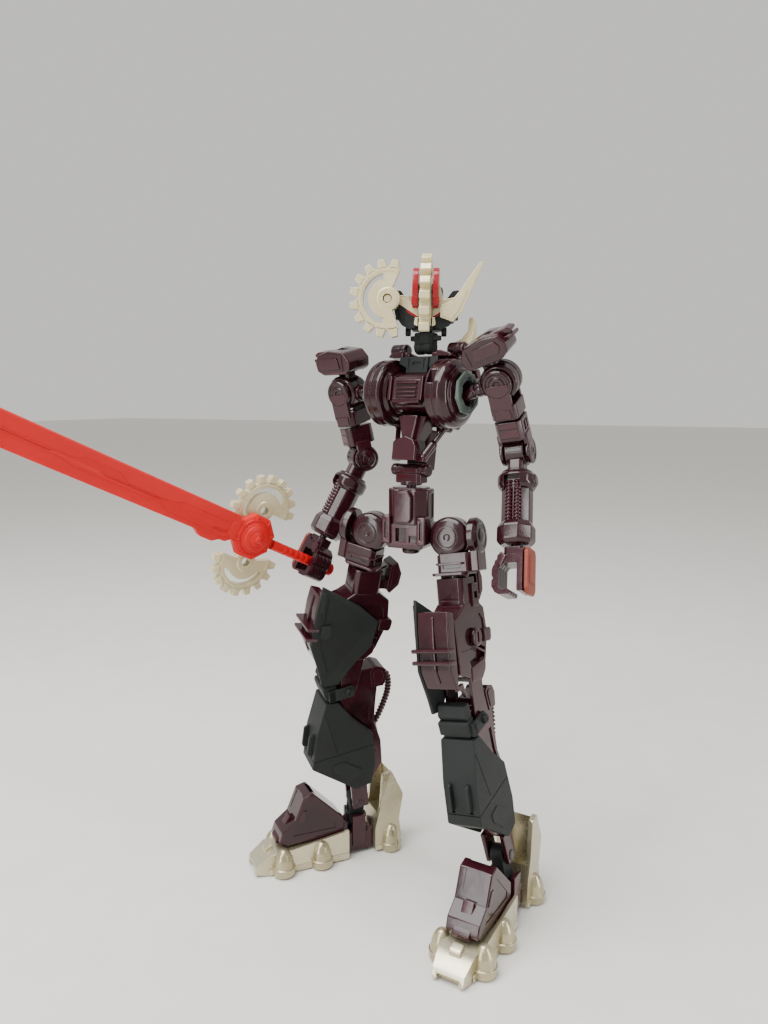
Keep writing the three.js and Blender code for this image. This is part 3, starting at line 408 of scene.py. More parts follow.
# Chest. Two turned drum halves on one axle with a stepped panel between them, glued to a back block
# with cooling slots. Polished maroon ABS, with the mould's split lines round each drum.
chest = seat((spot("left_shoulder_shrug") + spot("right_shoulder_shrug")) / 2, x=line("trunk_tilt"),
             y=line("left_shoulder_shrug", -1))
DRUM_HALF = 14
RIM = [(0, -DRUM_HALF), (6.3, -DRUM_HALF), (6.7, -13.5), (7.6, -13.3), (8.9, -12.4), (9.2, -11.6),
       (9.2, -10.4), (8.95, -10.3), (8.95, -9.9), (9.2, -9.8), (9.2, -7.9), (8.8, -7.3), (7.4, -7),
       (6.8, -6.2), (5.7, -5.9)]
vents = [spun(brick(-11.2, -7.9, -0.25, 0.25, 8.4, 10, 0), "X", angle) for angle in (18, 26, 34)]
window = brick(8.1, 10.1, -10, -7.6, 1.2, 4.8, 0)
drum = carved(
    turned(RIM + flip(RIM), "x", 0.3, 72), window, *vents,
    *[rod(4.7, s * DRUM_HALF - 3, s * DRUM_HALF + 3, "x", 0, 8) for s in (-1, 1)], edge=0.08)
mould("chest_drum_moulding", "trunk", chest, [
    drum,
    carved(slab([(-6.6, -3.4), (-6.6, 2.6), (-5.6, 3.6), (-2, 3.9), (-2, -3.9), (-5.4, -3.9)], -4.5, 4.5,
                "x", 0.35),
           brick(-3.6, 3.6, -8, -6.35, -2.4, 2.0, 0)),
    *[brick(-3.2, 3.2, -6.75, -6, z, z + 0.45, 0.1) for z in (-2.1, -1.0, 0.1)],
    brick(-3.4, 3.4, -6.9, -6, 1.5, 1.9, 0.1),
    *twins(5.1, 0.5, -7.1, -3, -3, 3.4, 0.25),
    carved(prism(17.4, 7.5, 1.6, -8.7, 5.3, 0.5, (0, 6.55)),
           *[brick(-5.5, 5.5, 9.6, 12, z, z + 1, 0) for z in (-6, -4, -2)],
           brick(-6, 6, 9.8, 12, 0.4, 3.6, 0)),
    *[at(turned([(0, -9.7), (1.9, -9.7), (2.3, -9.2), (2.6, -6), (0, -6)], "z"), s * 5, 6.6)
      for s in (-1, 1)],
], MAROON, ["chest_drum"])


# Drum rings. Eight-sided rings of grey-green ABS, pressed into the drum's ends round the shoulder axle.
RING = (plastic("satin_grey_green_abs", "2c3534", "414c48", (0.3, 0.45), 6, 1.2, 0.02, rub_and_highlight="6a766f", IOR=1.53,
                **{"Specular IOR Level": 0.35}), "ring_plastic")
EIGHTH = 45
for side, name in ((1, "left"), (-1, "right")):
    outer = turned([(0, -0.7), (5.1, -0.7), (5.8, -0.2), (5.8, 0.35), (5.1, 0.8), (4.3, 0.8), (4.1, 0.55),
                    (0, 0.55)], "x", 0, 8)
    octagon = carved(spun(outer, "X", EIGHTH / 2), rod(3.5, -4, 4, "x", 0, 48), edge=0.12)
    wedges = [spun(brick(0.3, 0.95, -0.9, 0.9, 3.7, 4.4, 0.1), "X", EIGHTH * i) for i in range(8)]
    across = chest @ Matrix.Diagonal((side, 1, 1, 1)) @ Matrix.Translation((DRUM_HALF + 1.1, 0, 0))
    mould(f"drum_ring_{name}_moulding", "trunk", across, [octagon, *wedges], RING, [f"drum_ring_{name}"])


# Yoke and collar horn. The yoke is a stepped saddle over the chest with a knob at each end. The horn
# is a flat cream hook clipped on its left side.
IVORY = (plastic("pearl_ivory_abs", "c0b288", "d6caa2", (0.16, 0.28), 9, 1.4, 0.004,
                 rub_and_highlight="e6dcba", IOR=1.5, Metallic=0.25, **{"Coat Weight": 0.2, "Coat Roughness": 0.15}),
         "cream_plastic")
mould("yoke_moulding", "trunk", chest, [
    slab([(-11.5, 6.3), (-9, 4.4), (9, 4.4), (11.5, 6.3), (10.5, 9), (4.4, 10.4), (-4.4, 10.4), (-10.5, 9)],
         10.6, 13, "y", 0.3),
    carved(prism(21, 7.8, 1.6, 9.6, 11.4, 0.3, (0, 8.5)), brick(-3, 3, 7, 10, 11, 12, 0)),
    *wings([(5.4, 9.7), (10.4, 9.7), (9.6, 10.7), (6.6, 11.4), (5.4, 11.4)], -2.2, 6, "y", 0.3),
    *wings([(3.6, 9.9), (6.4, 9.9), (6.4, 11), (3.6, 11)], -1.6, 5, "y", 0.3),
    *[at(turned([(0, -2.8), (1.3, -2.8), (1.9, -2.2), (1.9, 0.7), (1.65, 0.8), (1.65, 1.1), (1.9, 1.2),
                 (1.9, 2.2), (1.3, 2.8), (0, 2.8)], "x"),
         s * 9.4, 2.4, 12.4) for s in (-1, 1)],
], MAROON, ["yoke"])
horn = [(0, 0), (4.2, 1.2), (5.6, 5.2), (5.4, 7.6), (4.8, 9.6), (3.6, 9.2), (3.7, 5.8), (1.8, 3.6),
        (-0.8, 2.6)]
mould("collar_horn_moulding", "trunk", chest @ Matrix.Translation((6.4, 6, 12.2)), [
    slab(eased(horn, 0.4, True), -0.8, 0.8, "y", 0.2),
    slab([(0.6, 0.6), (3.6, 1.5), (4.6, 4.4), (2.2, 3), (0.4, 2.4)], -0.95, 0.95, "y", 0.15),
], IVORY, ["collar_horn"])


# Neck. A ribbed charcoal stalk on a round boss, with a wider bar across it.
CHARCOAL = (plastic("textured_charcoal_abs", "131615", "1e2221", (0.45, 0.65), 8, 0.35, 0.05, rub_and_highlight="343837",
                    IOR=1.53,
                    **{"Specular IOR Level": 0.2}), "armour_plastic")
mould("neck_well", "trunk", chest, [
    carved(brick(-3.6, 3.6, -2.8, 4, 5, 9.6, 0.4), brick(-1.4, 1.4, -4, -2.5, 7.2, 8.1, 0),
           *twins(2.5, 0.3, -4, -2.6, 6, 9, 0)),
    *wings([(3.4, 6.4), (6.4, 7.8), (6.2, 9.8), (3.4, 9.8)], -2.2, 3, "y", 0.3),
], CHARCOAL)
neck = seat(spot("neck_nod"), x=line("neck_nod"), z=line("head_turn"))
mould("neck_moulding", "neck", neck, [
    turned([(0, -2.8), (1.7, -2.8), (2.1, -2.4), (2.1, -0.6), (1.85, -0.5), (1.85, 0.5), (2.1, 0.6),
            (2.1, 2.4), (1.7, 2.8), (0, 2.8)], "x", 0.15),
    carved(prism(6, 4.4, 0.9, 0.6, 3.7, 0.25), brick(-1, 1, -3, -1.9, 1, 3.2, 0)),
    brick(-4.4, 4.4, -1.2, 1.2, 1.6, 3, 0.25), rod(1.25, 3, 7.9, "z", 0.1),
    *[rod(1.7, z, z + 0.35, "z", 0.1) for z in (3.75, 4.2)],
], CHARCOAL, ["neck_column"])


# Gears. Each is a moulded ivory wheel or part of one. The blank is cut and bored here, and its teeth
# are copies of one tapered tooth stepped round the rim by a Geometry Nodes tree.
def arc(radius, start, end, steps=24):
    angles = [math.radians(start + (end - start) * i / steps) for i in range(steps + 1)]
    return [(radius * math.cos(a), radius * math.sin(a)) for a in angles]


def tree_with(name, sockets):
    """A new Geometry Nodes tree with a mesh in, a mesh out and named sizes."""
    tree = bpy.data.node_groups.new(name, "GeometryNodeTree")
    tree.interface.new_socket("Geometry", in_out="INPUT", socket_type="NodeSocketGeometry")
    tree.interface.new_socket("Geometry", in_out="OUTPUT", socket_type="NodeSocketGeometry")
    for label, kind in sockets.items():
        tree.interface.new_socket(label, in_out="INPUT", socket_type="NodeSocket" + kind)
    return tree, tree.nodes.new("NodeGroupInput").outputs


def shown(tree, geometry, given):
    """Ends a tree with real geometry in the given material."""
    solid = wire(tree, "GeometryNodeRealizeInstances", {"Geometry": geometry})
    painted = wire(tree, "GeometryNodeSetMaterial", {
        "Geometry": solid.outputs[0], "Material": given["Material"]})
    wire(tree, "NodeGroupOutput", {0: painted.outputs[0]})


def grown(piece, tree, values):
    """Replaces a piece's mesh by what a tree makes of it with these input values."""
    grow = piece.modifiers.new("grow", "NODES")
    grow.node_group = tree
    for item in tree.interface.items_tree:
        if item.in_out == "INPUT" and item.name in values:
            grow[item.identifier] = values[item.name]
    mesh = frozen(piece)
    piece.modifiers.remove(grow)
    piece.data = mesh


def on_rim(angle, operation, radius):
    """How far round a rim a tooth is along one axis."""
    share = wire(TEETH, "ShaderNodeMath", {0: angle}, operation=operation)
    return wire(TEETH, "ShaderNodeMath", {0: share.outputs[0], 1: radius}, operation="MULTIPLY").outputs[0]


TEETH, given = tree_with("teeth_round_rim", {
    "Tooth": "Object", "Count": "Int", "Rim Radius": "Float", "First Angle": "Float",
    "Step Angle": "Float", "Material": "Material"})
row = wire(TEETH, "GeometryNodeMeshLine", {"Count": given["Count"], "Offset": (0, 0, 0)})
index = wire(TEETH, "GeometryNodeInputIndex").outputs[0]
angle = wire(TEETH, "ShaderNodeMath", {0: index, 1: given["Step Angle"], 2: given["First Angle"]},
             operation="MULTIPLY_ADD").outputs[0]
rim_points = wire(TEETH, "ShaderNodeCombineXYZ", {
    "X": on_rim(angle, "COSINE", given["Rim Radius"]), "Y": on_rim(angle, "SINE", given["Rim Radius"])})
row_on_rim = wire(TEETH, "GeometryNodeSetPosition", {"Geometry": row.outputs[0],
                                                     "Position": rim_points.outputs[0]})
tooth_shape = wire(TEETH, "GeometryNodeObjectInfo", {"Object": given["Tooth"], "As Instance": True})
teeth = wire(TEETH, "GeometryNodeInstanceOnPoints", {
    "Points": row_on_rim.outputs[0], "Instance": tooth_shape.outputs["Geometry"],
    "Rotation": wire(TEETH, "ShaderNodeCombineXYZ", {"Z": angle}).outputs[0]})
both = wire(TEETH, "GeometryNodeJoinGeometry", {"Geometry": given["Geometry"]})
TEETH.links.new(teeth.outputs[0], both.inputs[0])
shown(TEETH, both.outputs[0], given)


def cut_gear(name, body, place, blank, rim, tooth_width, depth, thickness, count, first, pitch, finish, node):
    """A blank with teeth stepped round its rim, then set in place."""
    width = tooth_width / 2
    tooth = loose(slab([(-0.8, -width), (0, -width), (depth, -0.68 * width), (depth, 0.68 * width),
                        (0, width), (-0.8, width)],
                       -thickness / 2, thickness / 2, "z", 0.18))
    gear = loose(merged(blank), name)
    grown(gear, TEETH, {"Tooth": tooth, "Count": count, "Rim Radius": rim, "First Angle": math.radians(first),
                        "Step Angle": math.radians(pitch), "Material": finish[0]})
    gear.data.transform(place)
    bpy.data.objects.remove(tooth)
    settle(gear, body, [node])


# Crest. A crescent of a large gear standing in the middle plane of the head, teeth forward, clipped
# into the helmet's slot.
head = seat(spot("head_turn"), y=line("side_gear_turn"), z=line("head_turn"))
CREST_RADIUS, CREST_BACK, CREST_RISE, CREST_TEETH = 18, 8.2, 6.4, 6
CREST_WHEEL_TEETH = 27
crest_pitch = 360 / CREST_WHEEL_TEETH
upright_plane = Matrix(((0, 0, -1, 0), (-1, 0, 0, CREST_BACK), (0, 1, 0, CREST_RISE), (0, 0, 0, 1)))
band = slab(arc(CREST_RADIUS - 2.1, -26, 54) + arc(CREST_RADIUS - 5.3, 54, -26), -1.4, 1.4, "z", 0.25)
edge_line = slab(arc(CREST_RADIUS - 3.6, -22, 50) + arc(CREST_RADIUS - 4.3, 50, -22), -1.6, 1.6, "z", 0.1)
cut_gear("crest_gear_moulding", "head", head @ upright_plane, [band, edge_line], CREST_RADIUS - 2.1, 2.9,
         2.1, 2.8, CREST_TEETH,
         -26 + crest_pitch / 2, crest_pitch, IVORY, "crest_gear")


# Side and guard gears. Sectors of a 16-tooth wheel with a raised rim, a slot that follows it, and a
# hub bored for its pin.
WHEEL_TEETH = 16
HUB_BORE = 1.25
GEAR_RADIUS = 10.2


def sector_gear(name, body, place, radius, thickness, start, count, finish, node):
    pitch = 360 / WHEEL_TEETH
    end = start + count * pitch
    half = thickness / 2
    mouth = [(2.4 * math.cos(math.radians(a)), 2.4 * math.sin(math.radians(a))) for a in (end, start)]
    disc = carved(
        slab(arc(radius - 2, start, end, 40) + mouth, -half, half, "z", 0),
        slab(arc(radius - 3.5, start + 34, end - 34) + arc(radius - 5, end - 34, start + 34), -4, 4, "z", 0),
        rod(HUB_BORE, -4, 4, "z", 0), edge=0.15)
    rims = [slab(arc(radius - 2.3, start + 2, end - 2) + arc(radius - 3.1, end - 2, start + 2),
                 s * half - 0.12, s * half + 0.12, "z", 0.08)
            for s in (-1, 1)]
    hub = carved(turned([(0, -half - 0.15), (2.6, -half - 0.15), (3.3, 0.2 - half), (3.3, half - 0.2),
                         (2.6, half + 0.15), (0, half + 0.15)], "z"),
                 rod(HUB_BORE, -4, 4, "z", 0), edge=0.1)
    cut_gear(name, body, place, [disc, *rims, hub], radius - 2, 2.5, 2, thickness, count, start + pitch / 2,
             pitch, finish, node)


side_gear = seat(spot("side_gear_turn"), y=line("side_gear_turn"),
                 z=line("head_turn")) @ Matrix.Rotation(math.radians(90), 4, "X")
sector_gear("side_gear_moulding", "side_gear", side_gear, GEAR_RADIUS, 2.6, 67.5, 10, IVORY, "side_gear")


# Helmet. A charcoal shell with flared cheek guards, split down the middle for the crest.
slot = slab(arc(CREST_RADIUS + 0.6, -40, 80) + arc(CREST_RADIUS - 5.8, 80, -40), -1.7, 1.7, "z", 0)
slot.transform(upright_plane)
cheek = [(5.2, 2.4), (7.2, 2.6), (8.4, 5.2), (9, 9.2), (8.8, 11), (7, 10.8), (5.3, 8.4)]
shapes = [
    carved(prism(8.4, 7.4, 1.6, 0.4, 12, 0.5, (0, 1.7)), rod(1.4, -2, 9, "z", 0)),
    carved(slab([(-1.6, 0.2), (1.6, 0.2), (2.6, 1.8), (2.6, 3), (-2.6, 3), (-2.6, 1.8)], -5.2, -1.2, "y",
                0.2), slot),
    brick(-7, 7, 0, 3, 4.4, 8.6, 0.3), slab([(-3, 12), (3, 12), (2.2, 13), (-2.2, 13)], 0.6, 4.6, "y", 0.3),
    *[brick(-2.6, 2.6, 5.2, 5.7, z, z + 0.7, 0.15) for z in (3, 5, 7, 9)],
]
for s in (-1, 1):
    fittings = [(cheek, -1.9, 3.6, 0.35),
                ([(5.6, 3), (6.9, 3.3), (7.8, 5.6), (5.6, 6.4)], -2.6, -1.6, 0.2),
                ([(6.2, 7), (8, 7.4), (8.4, 10), (6.6, 9.4)], -2.4, -1.6, 0.2),
                ([(2.4, 0.8), (4.2, 0.3), (6.4, 1.4), (8.2, 4), (8.9, 7.6), (8.7, 9.6), (6.8, 8), (4.4, 4.6),
                  (2.6, 3.6)], -3.9, -2.4, 0.3),
                ([(5.4, 2.6), (6.6, 3.2), (7.6, 5.6), (6, 5.2)], -4.1, -3.6, 0.15)]
    shapes += [slab([(s * u, v) for u, v in outline], front, rear, "y", edge)
               for outline, front, rear, edge in fittings]
    shapes += [brick(s * 7.9 - 0.6, s * 7.9 + 0.6, 0.2, 3, 3.4, 5, 0.2), rod(1.2, 4.2 * s, 5.6 * s, "x")]
mould("helmet_moulding", "head", head, shapes, CHARCOAL, ["helmet"])


# Face. Two polished red plates stand either side of the crest in front of a plain ivory brow, whose
# arm carries the side gear's pin. The fin is a thin ivory blade on the left.
RED = (plastic("polished_red_abs", "760910", "930f18", (0.12, 0.24), 6, 1.5, 0.02, rub_and_highlight="c03038", IOR=1.53,
               **{"Coat Weight": 0.12, "Coat Roughness": 0.06, "Specular IOR Level": 0.35}), "red_plastic")
plate_outline = eased([(-4, 5.6), (-4, 13.6), (-2.6, 15.6), (-4.2, 16.6), (-6.4, 15), (-7.4, 11), (-6.2, 6)],
                      0.9, True)
for side, name in ((1, "left"), (-1, "right")):
    crossing = head @ Matrix.Diagonal((side, 1, 1, 1))
    mould(f"face_plate_{name}_moulding", "head", crossing, [
        slab(plate_outline, 1.9, 3.5, "x", 0.4),
        slab([(-5, 6.4), (-6.6, 6.6), (-6.9, 8.6), (-5, 8.6)], 2.1, 3.7, "x", 0.2),
    ], RED, [f"face_plate_{name}"])
mould("brow_moulding", "head", head, [
    *wings([(1.9, 3.6), (7.4, 7), (7.6, 8.8), (4.6, 8.2), (1.9, 6.2)], -4, -2.2, "y", 0.25),
    carved(slab([(-3.9, 3.4), (3.9, 3.4), (5, 7), (3.6, 12.4), (-3.6, 12.4), (-5, 7)], -3.5, -2.2, "y", 0),
           brick(-1.75, 1.75, -8, 2, 9.8, 20, 0), brick(1.9, 2.9, -8, 2, 10.2, 11.6, 0)),
    *twins(2.7, 0.9, -3.1, -1.9, 12, 15, 0.25),
    slab([(-11.2, 7), (-10, 6.5), (-2.6, 6.6), (-2.6, 9.2), (-10, 9.5), (-11.2, 9)], -3.5, -2.2, "y", 0.2),
    at(turned([(0, -6.6), (0.9, -6.6), (1.1, -6.4), (1.1, -3.2), (0, -3.2)], "y", 0.1), x=-10, z=8),
    *wings([(1.9, 0.9), (2.9, 1.4), (2.6, 3.3), (1.9, 3.3)], -5.8, -4.4, "y", 0.15),
], IVORY, ["brow"])
mould("visor_inlay", "head", head, wings([(2, 3.1), (5.2, 4.9), (5.2, 5.6), (2, 3.9)], -3.9, -2.5, "y", 0.1),
      RED)
fin = [(0.4, -1.2), (3.8, -2.4), (6.4, 0.6), (8.8, 6.4), (11.6, 13.2), (10.5, 13.2), (5.6, 6), (3.2, 3),
       (0.4, 2)]
mould("head_fin_moulding", "head", head @ Matrix.Translation((3.6, -4.6, 4.6)), [
    slab(fin, -0.55, 0.55, "y", 0.25),
    slab([(1, -0.8), (3.6, -1.7), (5.4, 0.8), (7.6, 6), (6, 5.2), (3.4, 2.2), (1, 1)], -0.75, 0.75, "y",
         0.12),
], IVORY, ["head_fin"])


# Ribbed cables. A smooth core with a ring every few tenths of a millimetre, as on a moulded coil
# spring. A Geometry Nodes tree lays the rings along any path.
def circle(sides, radius):
    return wire(COILS, "GeometryNodeCurvePrimitiveCircle", {"Resolution": sides, "Radius": radius}).outputs[0]


COILS, given = tree_with("rings_on_path", {
    "Core Radius": "Float", "Ring Radius": "Float", "Wire Radius": "Float", "Pitch": "Float",
    "Material": "Material"})
curve = wire(COILS, "GeometryNodeMeshToCurve", {"Mesh": given["Geometry"]})
core = wire(COILS, "GeometryNodeCurveToMesh", {
    "Curve": curve.outputs[0], "Fill Caps": True,
    "Profile Curve": circle(16, given["Core Radius"])})
coil = wire(COILS, "GeometryNodeCurveToMesh", {
    "Curve": circle(18, given["Ring Radius"]),
    "Profile Curve": circle(8, given["Wire Radius"])})
stations = wire(COILS, "GeometryNodeCurveToPoints", {"Curve": curve.outputs[0], "Length": given["Pitch"]},
                mode="LENGTH")
coils = wire(COILS, "GeometryNodeInstanceOnPoints", {
    "Points": stations.outputs[0], "Instance": coil.outputs[0], "Rotation": stations.outputs["Rotation"]})
both = wire(COILS, "GeometryNodeJoinGeometry", {"Geometry": core.outputs[0]})
COILS.links.new(coils.outputs[0], both.inputs[0])
shown(COILS, both.outputs[0], given)


def ribbed(name, body, place, points, outer, pitch, finish):
    """A ribbed cable along points given in its body's millimetres."""
    mesh = bpy.data.meshes.new(name)
    mesh.from_pydata([place @ Vector(p) for p in points], [(i, i + 1) for i in range(len(points) - 1)], [])
    cable = placed(name, mesh)
    grown(cable, COILS, {"Core Radius": 0.6 * outer * MM, "Ring Radius": 0.64 * outer * MM,
                         "Wire Radius": 0.38 * outer * MM,
                         "Pitch": pitch * MM, "Material": finish[0]})
    clean = bmesh.new()
    clean.from_mesh(cable.data)
    bmesh.ops.recalc_face_normals(clean, faces=clean.faces)
    clean.to_mesh(cable.data)
    clean.free()
    settle(cable, body)


# Screws. Cross-headed screws in charcoal plastic, copied onto their bosses by a Geometry Nodes tree
# that turns each head to its surface.
HEADS, given = tree_with("heads_on_points", {"Head": "Object", "Material": "Material"})
facing = wire(HEADS, "GeometryNodeInputNamedAttribute", {"Name": "facing"}, data_type="FLOAT_VECTOR")
lean = wire(HEADS, "FunctionNodeAlignRotationToVector", {"Vector": facing.outputs[0]}, axis="Z")
head_shape = wire(HEADS, "GeometryNodeObjectInfo", {"Object": given["Head"], "As Instance": True})
heads = wire(HEADS, "GeometryNodeInstanceOnPoints", {
    "Points": given["Geometry"], "Instance": head_shape.outputs["Geometry"], "Rotation": lean.outputs[0]})
shown(HEADS, heads.outputs[0], given)


def screws(name, body, place, points, facing, radius, finish):
    """Screw heads at points in the body's millimetres, all facing one way."""
    cross = [brick(-radius * 0.7, radius * 0.7, -0.1, 0.1, 0.1, 1, 0),
             brick(-0.1, 0.1, -radius * 0.7, radius * 0.7, 0.1, 1, 0)]
    head_object = loose(carved(turned([(0, -0.3), (radius, -0.3), (radius, 0.1), (radius * 0.7, 0.3),
                                       (0, 0.34)], "z", 0.08, 24), *cross, edge=0))
    head_object.data.transform(Matrix.Diagonal((MM, MM, MM, 1)))
    mesh = bpy.data.meshes.new(name)
    mesh.from_pydata([place @ Vector(p) for p in points], [], [])
    way = (place.to_3x3() @ Vector(facing)).normalized()
    stored = mesh.attributes.new("facing", "FLOAT_VECTOR", "POINT")
    stored.data.foreach_set("vector", list(way) * len(points))
    group = placed(name, mesh)
    grown(group, HEADS, {"Head": head_object, "Material": finish[0]})
    bpy.data.objects.remove(head_object)
    settle(group, body)


screws("back_screws", "trunk", chest, [(s * 7.2, 10.45, z) for s in (-1, 1) for z in (-7, 3.6)], (0, 1, 0),
       0.8, CHARCOAL)


# Sword. Bright red semi-gloss ABS in three mouldings: a ribbed grip, an eight-sided guard with a
# stepped boss, and a single-edged blade with a raised spine and stepped notches near the guard.
SWORD_RED = (plastic("satin_red_abs", "b00a0e", "cc1416", (0.34, 0.46), 14, 0.6, 0.02, rub_and_highlight="e23a34", IOR=1.5,
                     **{"Specular IOR Level": 0.18, "Subsurface Weight": 0.05,
                        "Subsurface Radius": (0.002, 0.0004, 0.0004), "Subsurface Scale": 0.4}),
             "sword_plastic")
PAULDRON_DROOP = {"left": 0, "right": -4}
FLAT_HAND_TURN = {"left": -2.4, "right": -18.5}


def joint_finder(name):
    """Ways to ask for the place and the axis of a joint on one side of the body."""
    return lambda joint: spot(f"{name}_{joint}"), lambda joint, sign=1: line(f"{name}_{joint}", sign)


def limb(name, side):
    """Where each body of one arm sits. Pieces are drawn for the left arm and mirrored for the right."""
    here, axis = joint_finder(name)
    across, lift = axis("shoulder_swing"), axis("pauldron_lift")
    bend, twist = axis("elbow_bend"), axis("wrist_turn")
    cap_across = Quaternion(lift, math.radians(PAULDRON_DROOP[name])) @ across
    hand_across = Quaternion(twist, math.radians(FLAT_HAND_TURN[name])) @ bend
    upward, turn, along = axis("arm_raise", -side), axis("arm_turn", side), axis("wrist_turn", side)
    return {
        "clavicle": seat(here("shoulder_shrug"), x=across, y=axis("shoulder_shrug", -side), side=side),
        "shoulder": seat(here("shoulder_swing"), x=across, y=upward, side=side),
        "pauldron": seat(here("pauldron_lift"), x=cap_across, y=lift * -side, side=side),
        "upper_arm": seat(here("arm_raise"), y=upward, z=turn, side=side),
        "elbow_block": seat(here("arm_turn"), x=bend, z=turn, side=side),
        "forearm": seat(here("elbow_bend"), x=bend, z=along, side=side),
        "hand": seat(here("wrist_turn"), x=hand_across, z=along, side=side),
    }


def limb_mould(piece, name, part, seats, shapes, finish):
    """One moulding of the left or right limb, in place of the node of the same name."""
    mould(f"{piece}_{name}_moulding", f"{name}_{part}", seats[part], shapes, finish, [f"{piece}_{name}"])


right_hand = limb("right", -1)["hand"] @ Matrix.Diagonal((-1, 1, 1, 1))
sword = right_hand @ Matrix.Translation((1.05, 0, -8.35))
HUB = -23.7
grip_profile = [(0, 7.2), (1.6, 7.2), (1.9, 6.9), (1.9, 5.8), (1.45, 5.5)]
for i in range(9):
    y = 4.4 - i * 2.1
    grip_profile += [(1.45, y), (1.3, y - 0.15), (1.3, y - 0.5), (1.45, y - 0.65)]
grip_profile += [(1.45, -16.6), (0, -16.6)]
mould("sword_grip_moulding", "right_hand", sword, [turned(list(reversed(grip_profile)), "y", 0.1)],
      SWORD_RED, ["sword_grip"])
boss = [(0, -2.4), (3.9, -2.4), (4.4, -2), (4.4, 2), (4.1, 2.2), (3.7, 2.3), (3.5, 2.7), (2.5, 3.1),
        (2.3, 3.05), (2, 3.3), (1.3, 3.6), (1.1, 3.55), (0.9, 3.9), (0.4, 4.2), (0, 4.2)]
guard = softened(turned([(0, -1.5), (6, -1.5), (6.6, -1), (6.6, 1), (6, 1.5), (0, 1.5)], "x", 0, 8), 0.12)
rim = turned([(0, -1.8), (5.2, -1.8), (5.4, -1.6), (5.4, 1.6), (5.2, 1.8), (0, 1.8)], "x", 0.1)
lugs = [spun(brick(-1.95, 1.95, 4.6, 6, -0.25, 0.25, 0.08), "X", EIGHTH / 2 + EIGHTH * i) for i in range(8)]
mould("sword_hub_moulding", "right_hand", sword @ Matrix.Translation((0, HUB, 0)), [
    turned(boss, "x", 0.12), spun(guard, "X", EIGHTH / 2), rim, *lugs,
    slab([(-8.4, -1.8), (-8.4, 1.6), (-5.6, 3.4), (-5.6, -3.4)], -1.5, 1.5, "x", 0.3),
], SWORD_RED, ["sword_hub"])
BLADE_LENGTH = 112
TIP = HUB - BLADE_LENGTH
BLADE_HALF_WIDTH = 4
blade_outline = [
    (HUB - 6.2, 1 - BLADE_HALF_WIDTH), (HUB - 8, -BLADE_HALF_WIDTH - 0.2),
    (HUB - 9.8, -BLADE_HALF_WIDTH - 0.2), (HUB - 11.6, -BLADE_HALF_WIDTH - 1.4),
    (HUB - 15.6, -BLADE_HALF_WIDTH - 1.4), (HUB - 18, -BLADE_HALF_WIDTH), (TIP + 16, -BLADE_HALF_WIDTH),
    (TIP + 0.5, BLADE_HALF_WIDTH - 0.6), (TIP + 2, BLADE_HALF_WIDTH), (HUB - 6.2, BLADE_HALF_WIDTH)]
spine = [(HUB - 6.6, -1.8), (HUB - 6.6, 1.2), (HUB - 24, 1.2), (HUB - 27, 0), (HUB - 40, 0), (HUB - 43, 1.6),
         (HUB - 52, 1.6), (HUB - 55, 0.4), (HUB - 80, 0.4), (HUB - 83, 1.8), (TIP + 14, 1.8), (TIP + 18, 0.2),
         (HUB - 84, -0.6), (HUB - 58, -0.6), (HUB - 54, -1.4), (HUB - 30, -1.4), (HUB - 27, -2.6),
         (HUB - 14, -2.6), (HUB - 11, -3.4), (HUB - 9, -3.4)]
panel = [[(HUB - 30, -0.2), (HUB - 32, -0.7), (HUB - 46, -0.7), (HUB - 48, -0.2)],
         [(HUB - 9, -1.2), (HUB - 13, -1.2), (HUB - 14, -2), (HUB - 10, -2.2)],
         [(HUB - 60, 0.1), (HUB - 61, -0.3), (HUB - 78, -0.3), (HUB - 79, 0.1)]]
blade_shapes = [slab(blade_outline, -1.2, 1.2, "x", 0.45)]
for s in (-1, 1):
    low, high = sorted((s * 0.9, s * 1.4))
    blade_shapes += [carved(slab(spine, low, high, "x", 0.18),
                            *[slab(outline, s * 1.42 - 0.2, s * 1.42 + 0.2, "x", 0) for outline in panel],
                            edge=0.06)]
mould("sword_blade_moulding", "right_hand", sword, blade_shapes, SWORD_RED, ["sword_blade"])
for name, start, count, back, height in (("upper", 0, 11, 2, 7.6), ("lower", 180, 9, 4, -7.6)):
    upright = Matrix(((0, 0, 1, -3.9), (1, 0, 0, HUB + back), (0, 1, 0, height), (0, 0, 0, 1)))
    sector_gear(f"guard_gear_{name}_moulding", "right_hand", sword @ upright, GEAR_RADIUS, 2, start, count,
                IVORY, f"guard_gear_{name}")


# Arms. Polished maroon mouldings on friction pins: a shoulder disc inside a fork, a turning block, a
# forked elbow, a bell-shaped forearm with two coil springs, and a hand with four hooked fingers.
ORANGE = (plastic("satin_orange_red_abs", "5e1f15", "7a3023", (0.35, 0.5), 5, 0.5, 0.03, rub_and_highlight="b56a50",
                  IOR=1.5, **{"Specular IOR Level": 0.3}), "palm_plastic")
PIN_BORE = 1.2
ELBOW = -10.2
SHOULDER_WELL = 5.25
SHOULDER_FACE = [(0, -4.25), (0.8, -4.25), (1, -4.65), (1.9, -4.65), (2.1, -4.35), (2.8, -4.35), (3, -4.75),
                 (3.5, -4.75), (3.9, -4.35), (3.9, -3.5), (0, -3.5)]
DISC = [(0, -2.9), (3.6, -2.9), (3.9, -3.1), (4.3, -3.1), (4.9, -2.5), (4.9, -0.5), (4.7, -0.4), (4.7, 0.4),
        (4.9, 0.5), (4.9, 2.5), (4.3, 3.1), (3.6, 3.1), (3.4, 2.9), (0, 2.9)]
ELBOW_DISC = [(0, 2.9), (3.2, 2.9), (3.6, 3.2), (3.6, 3.9), (3.2, 4.15), (2.6, 4.15), (2.4, 3.9), (1.5, 3.9),
              (1.3, 4.2), (0.6, 4.2), (0.4, 3.95), (0, 3.95)]
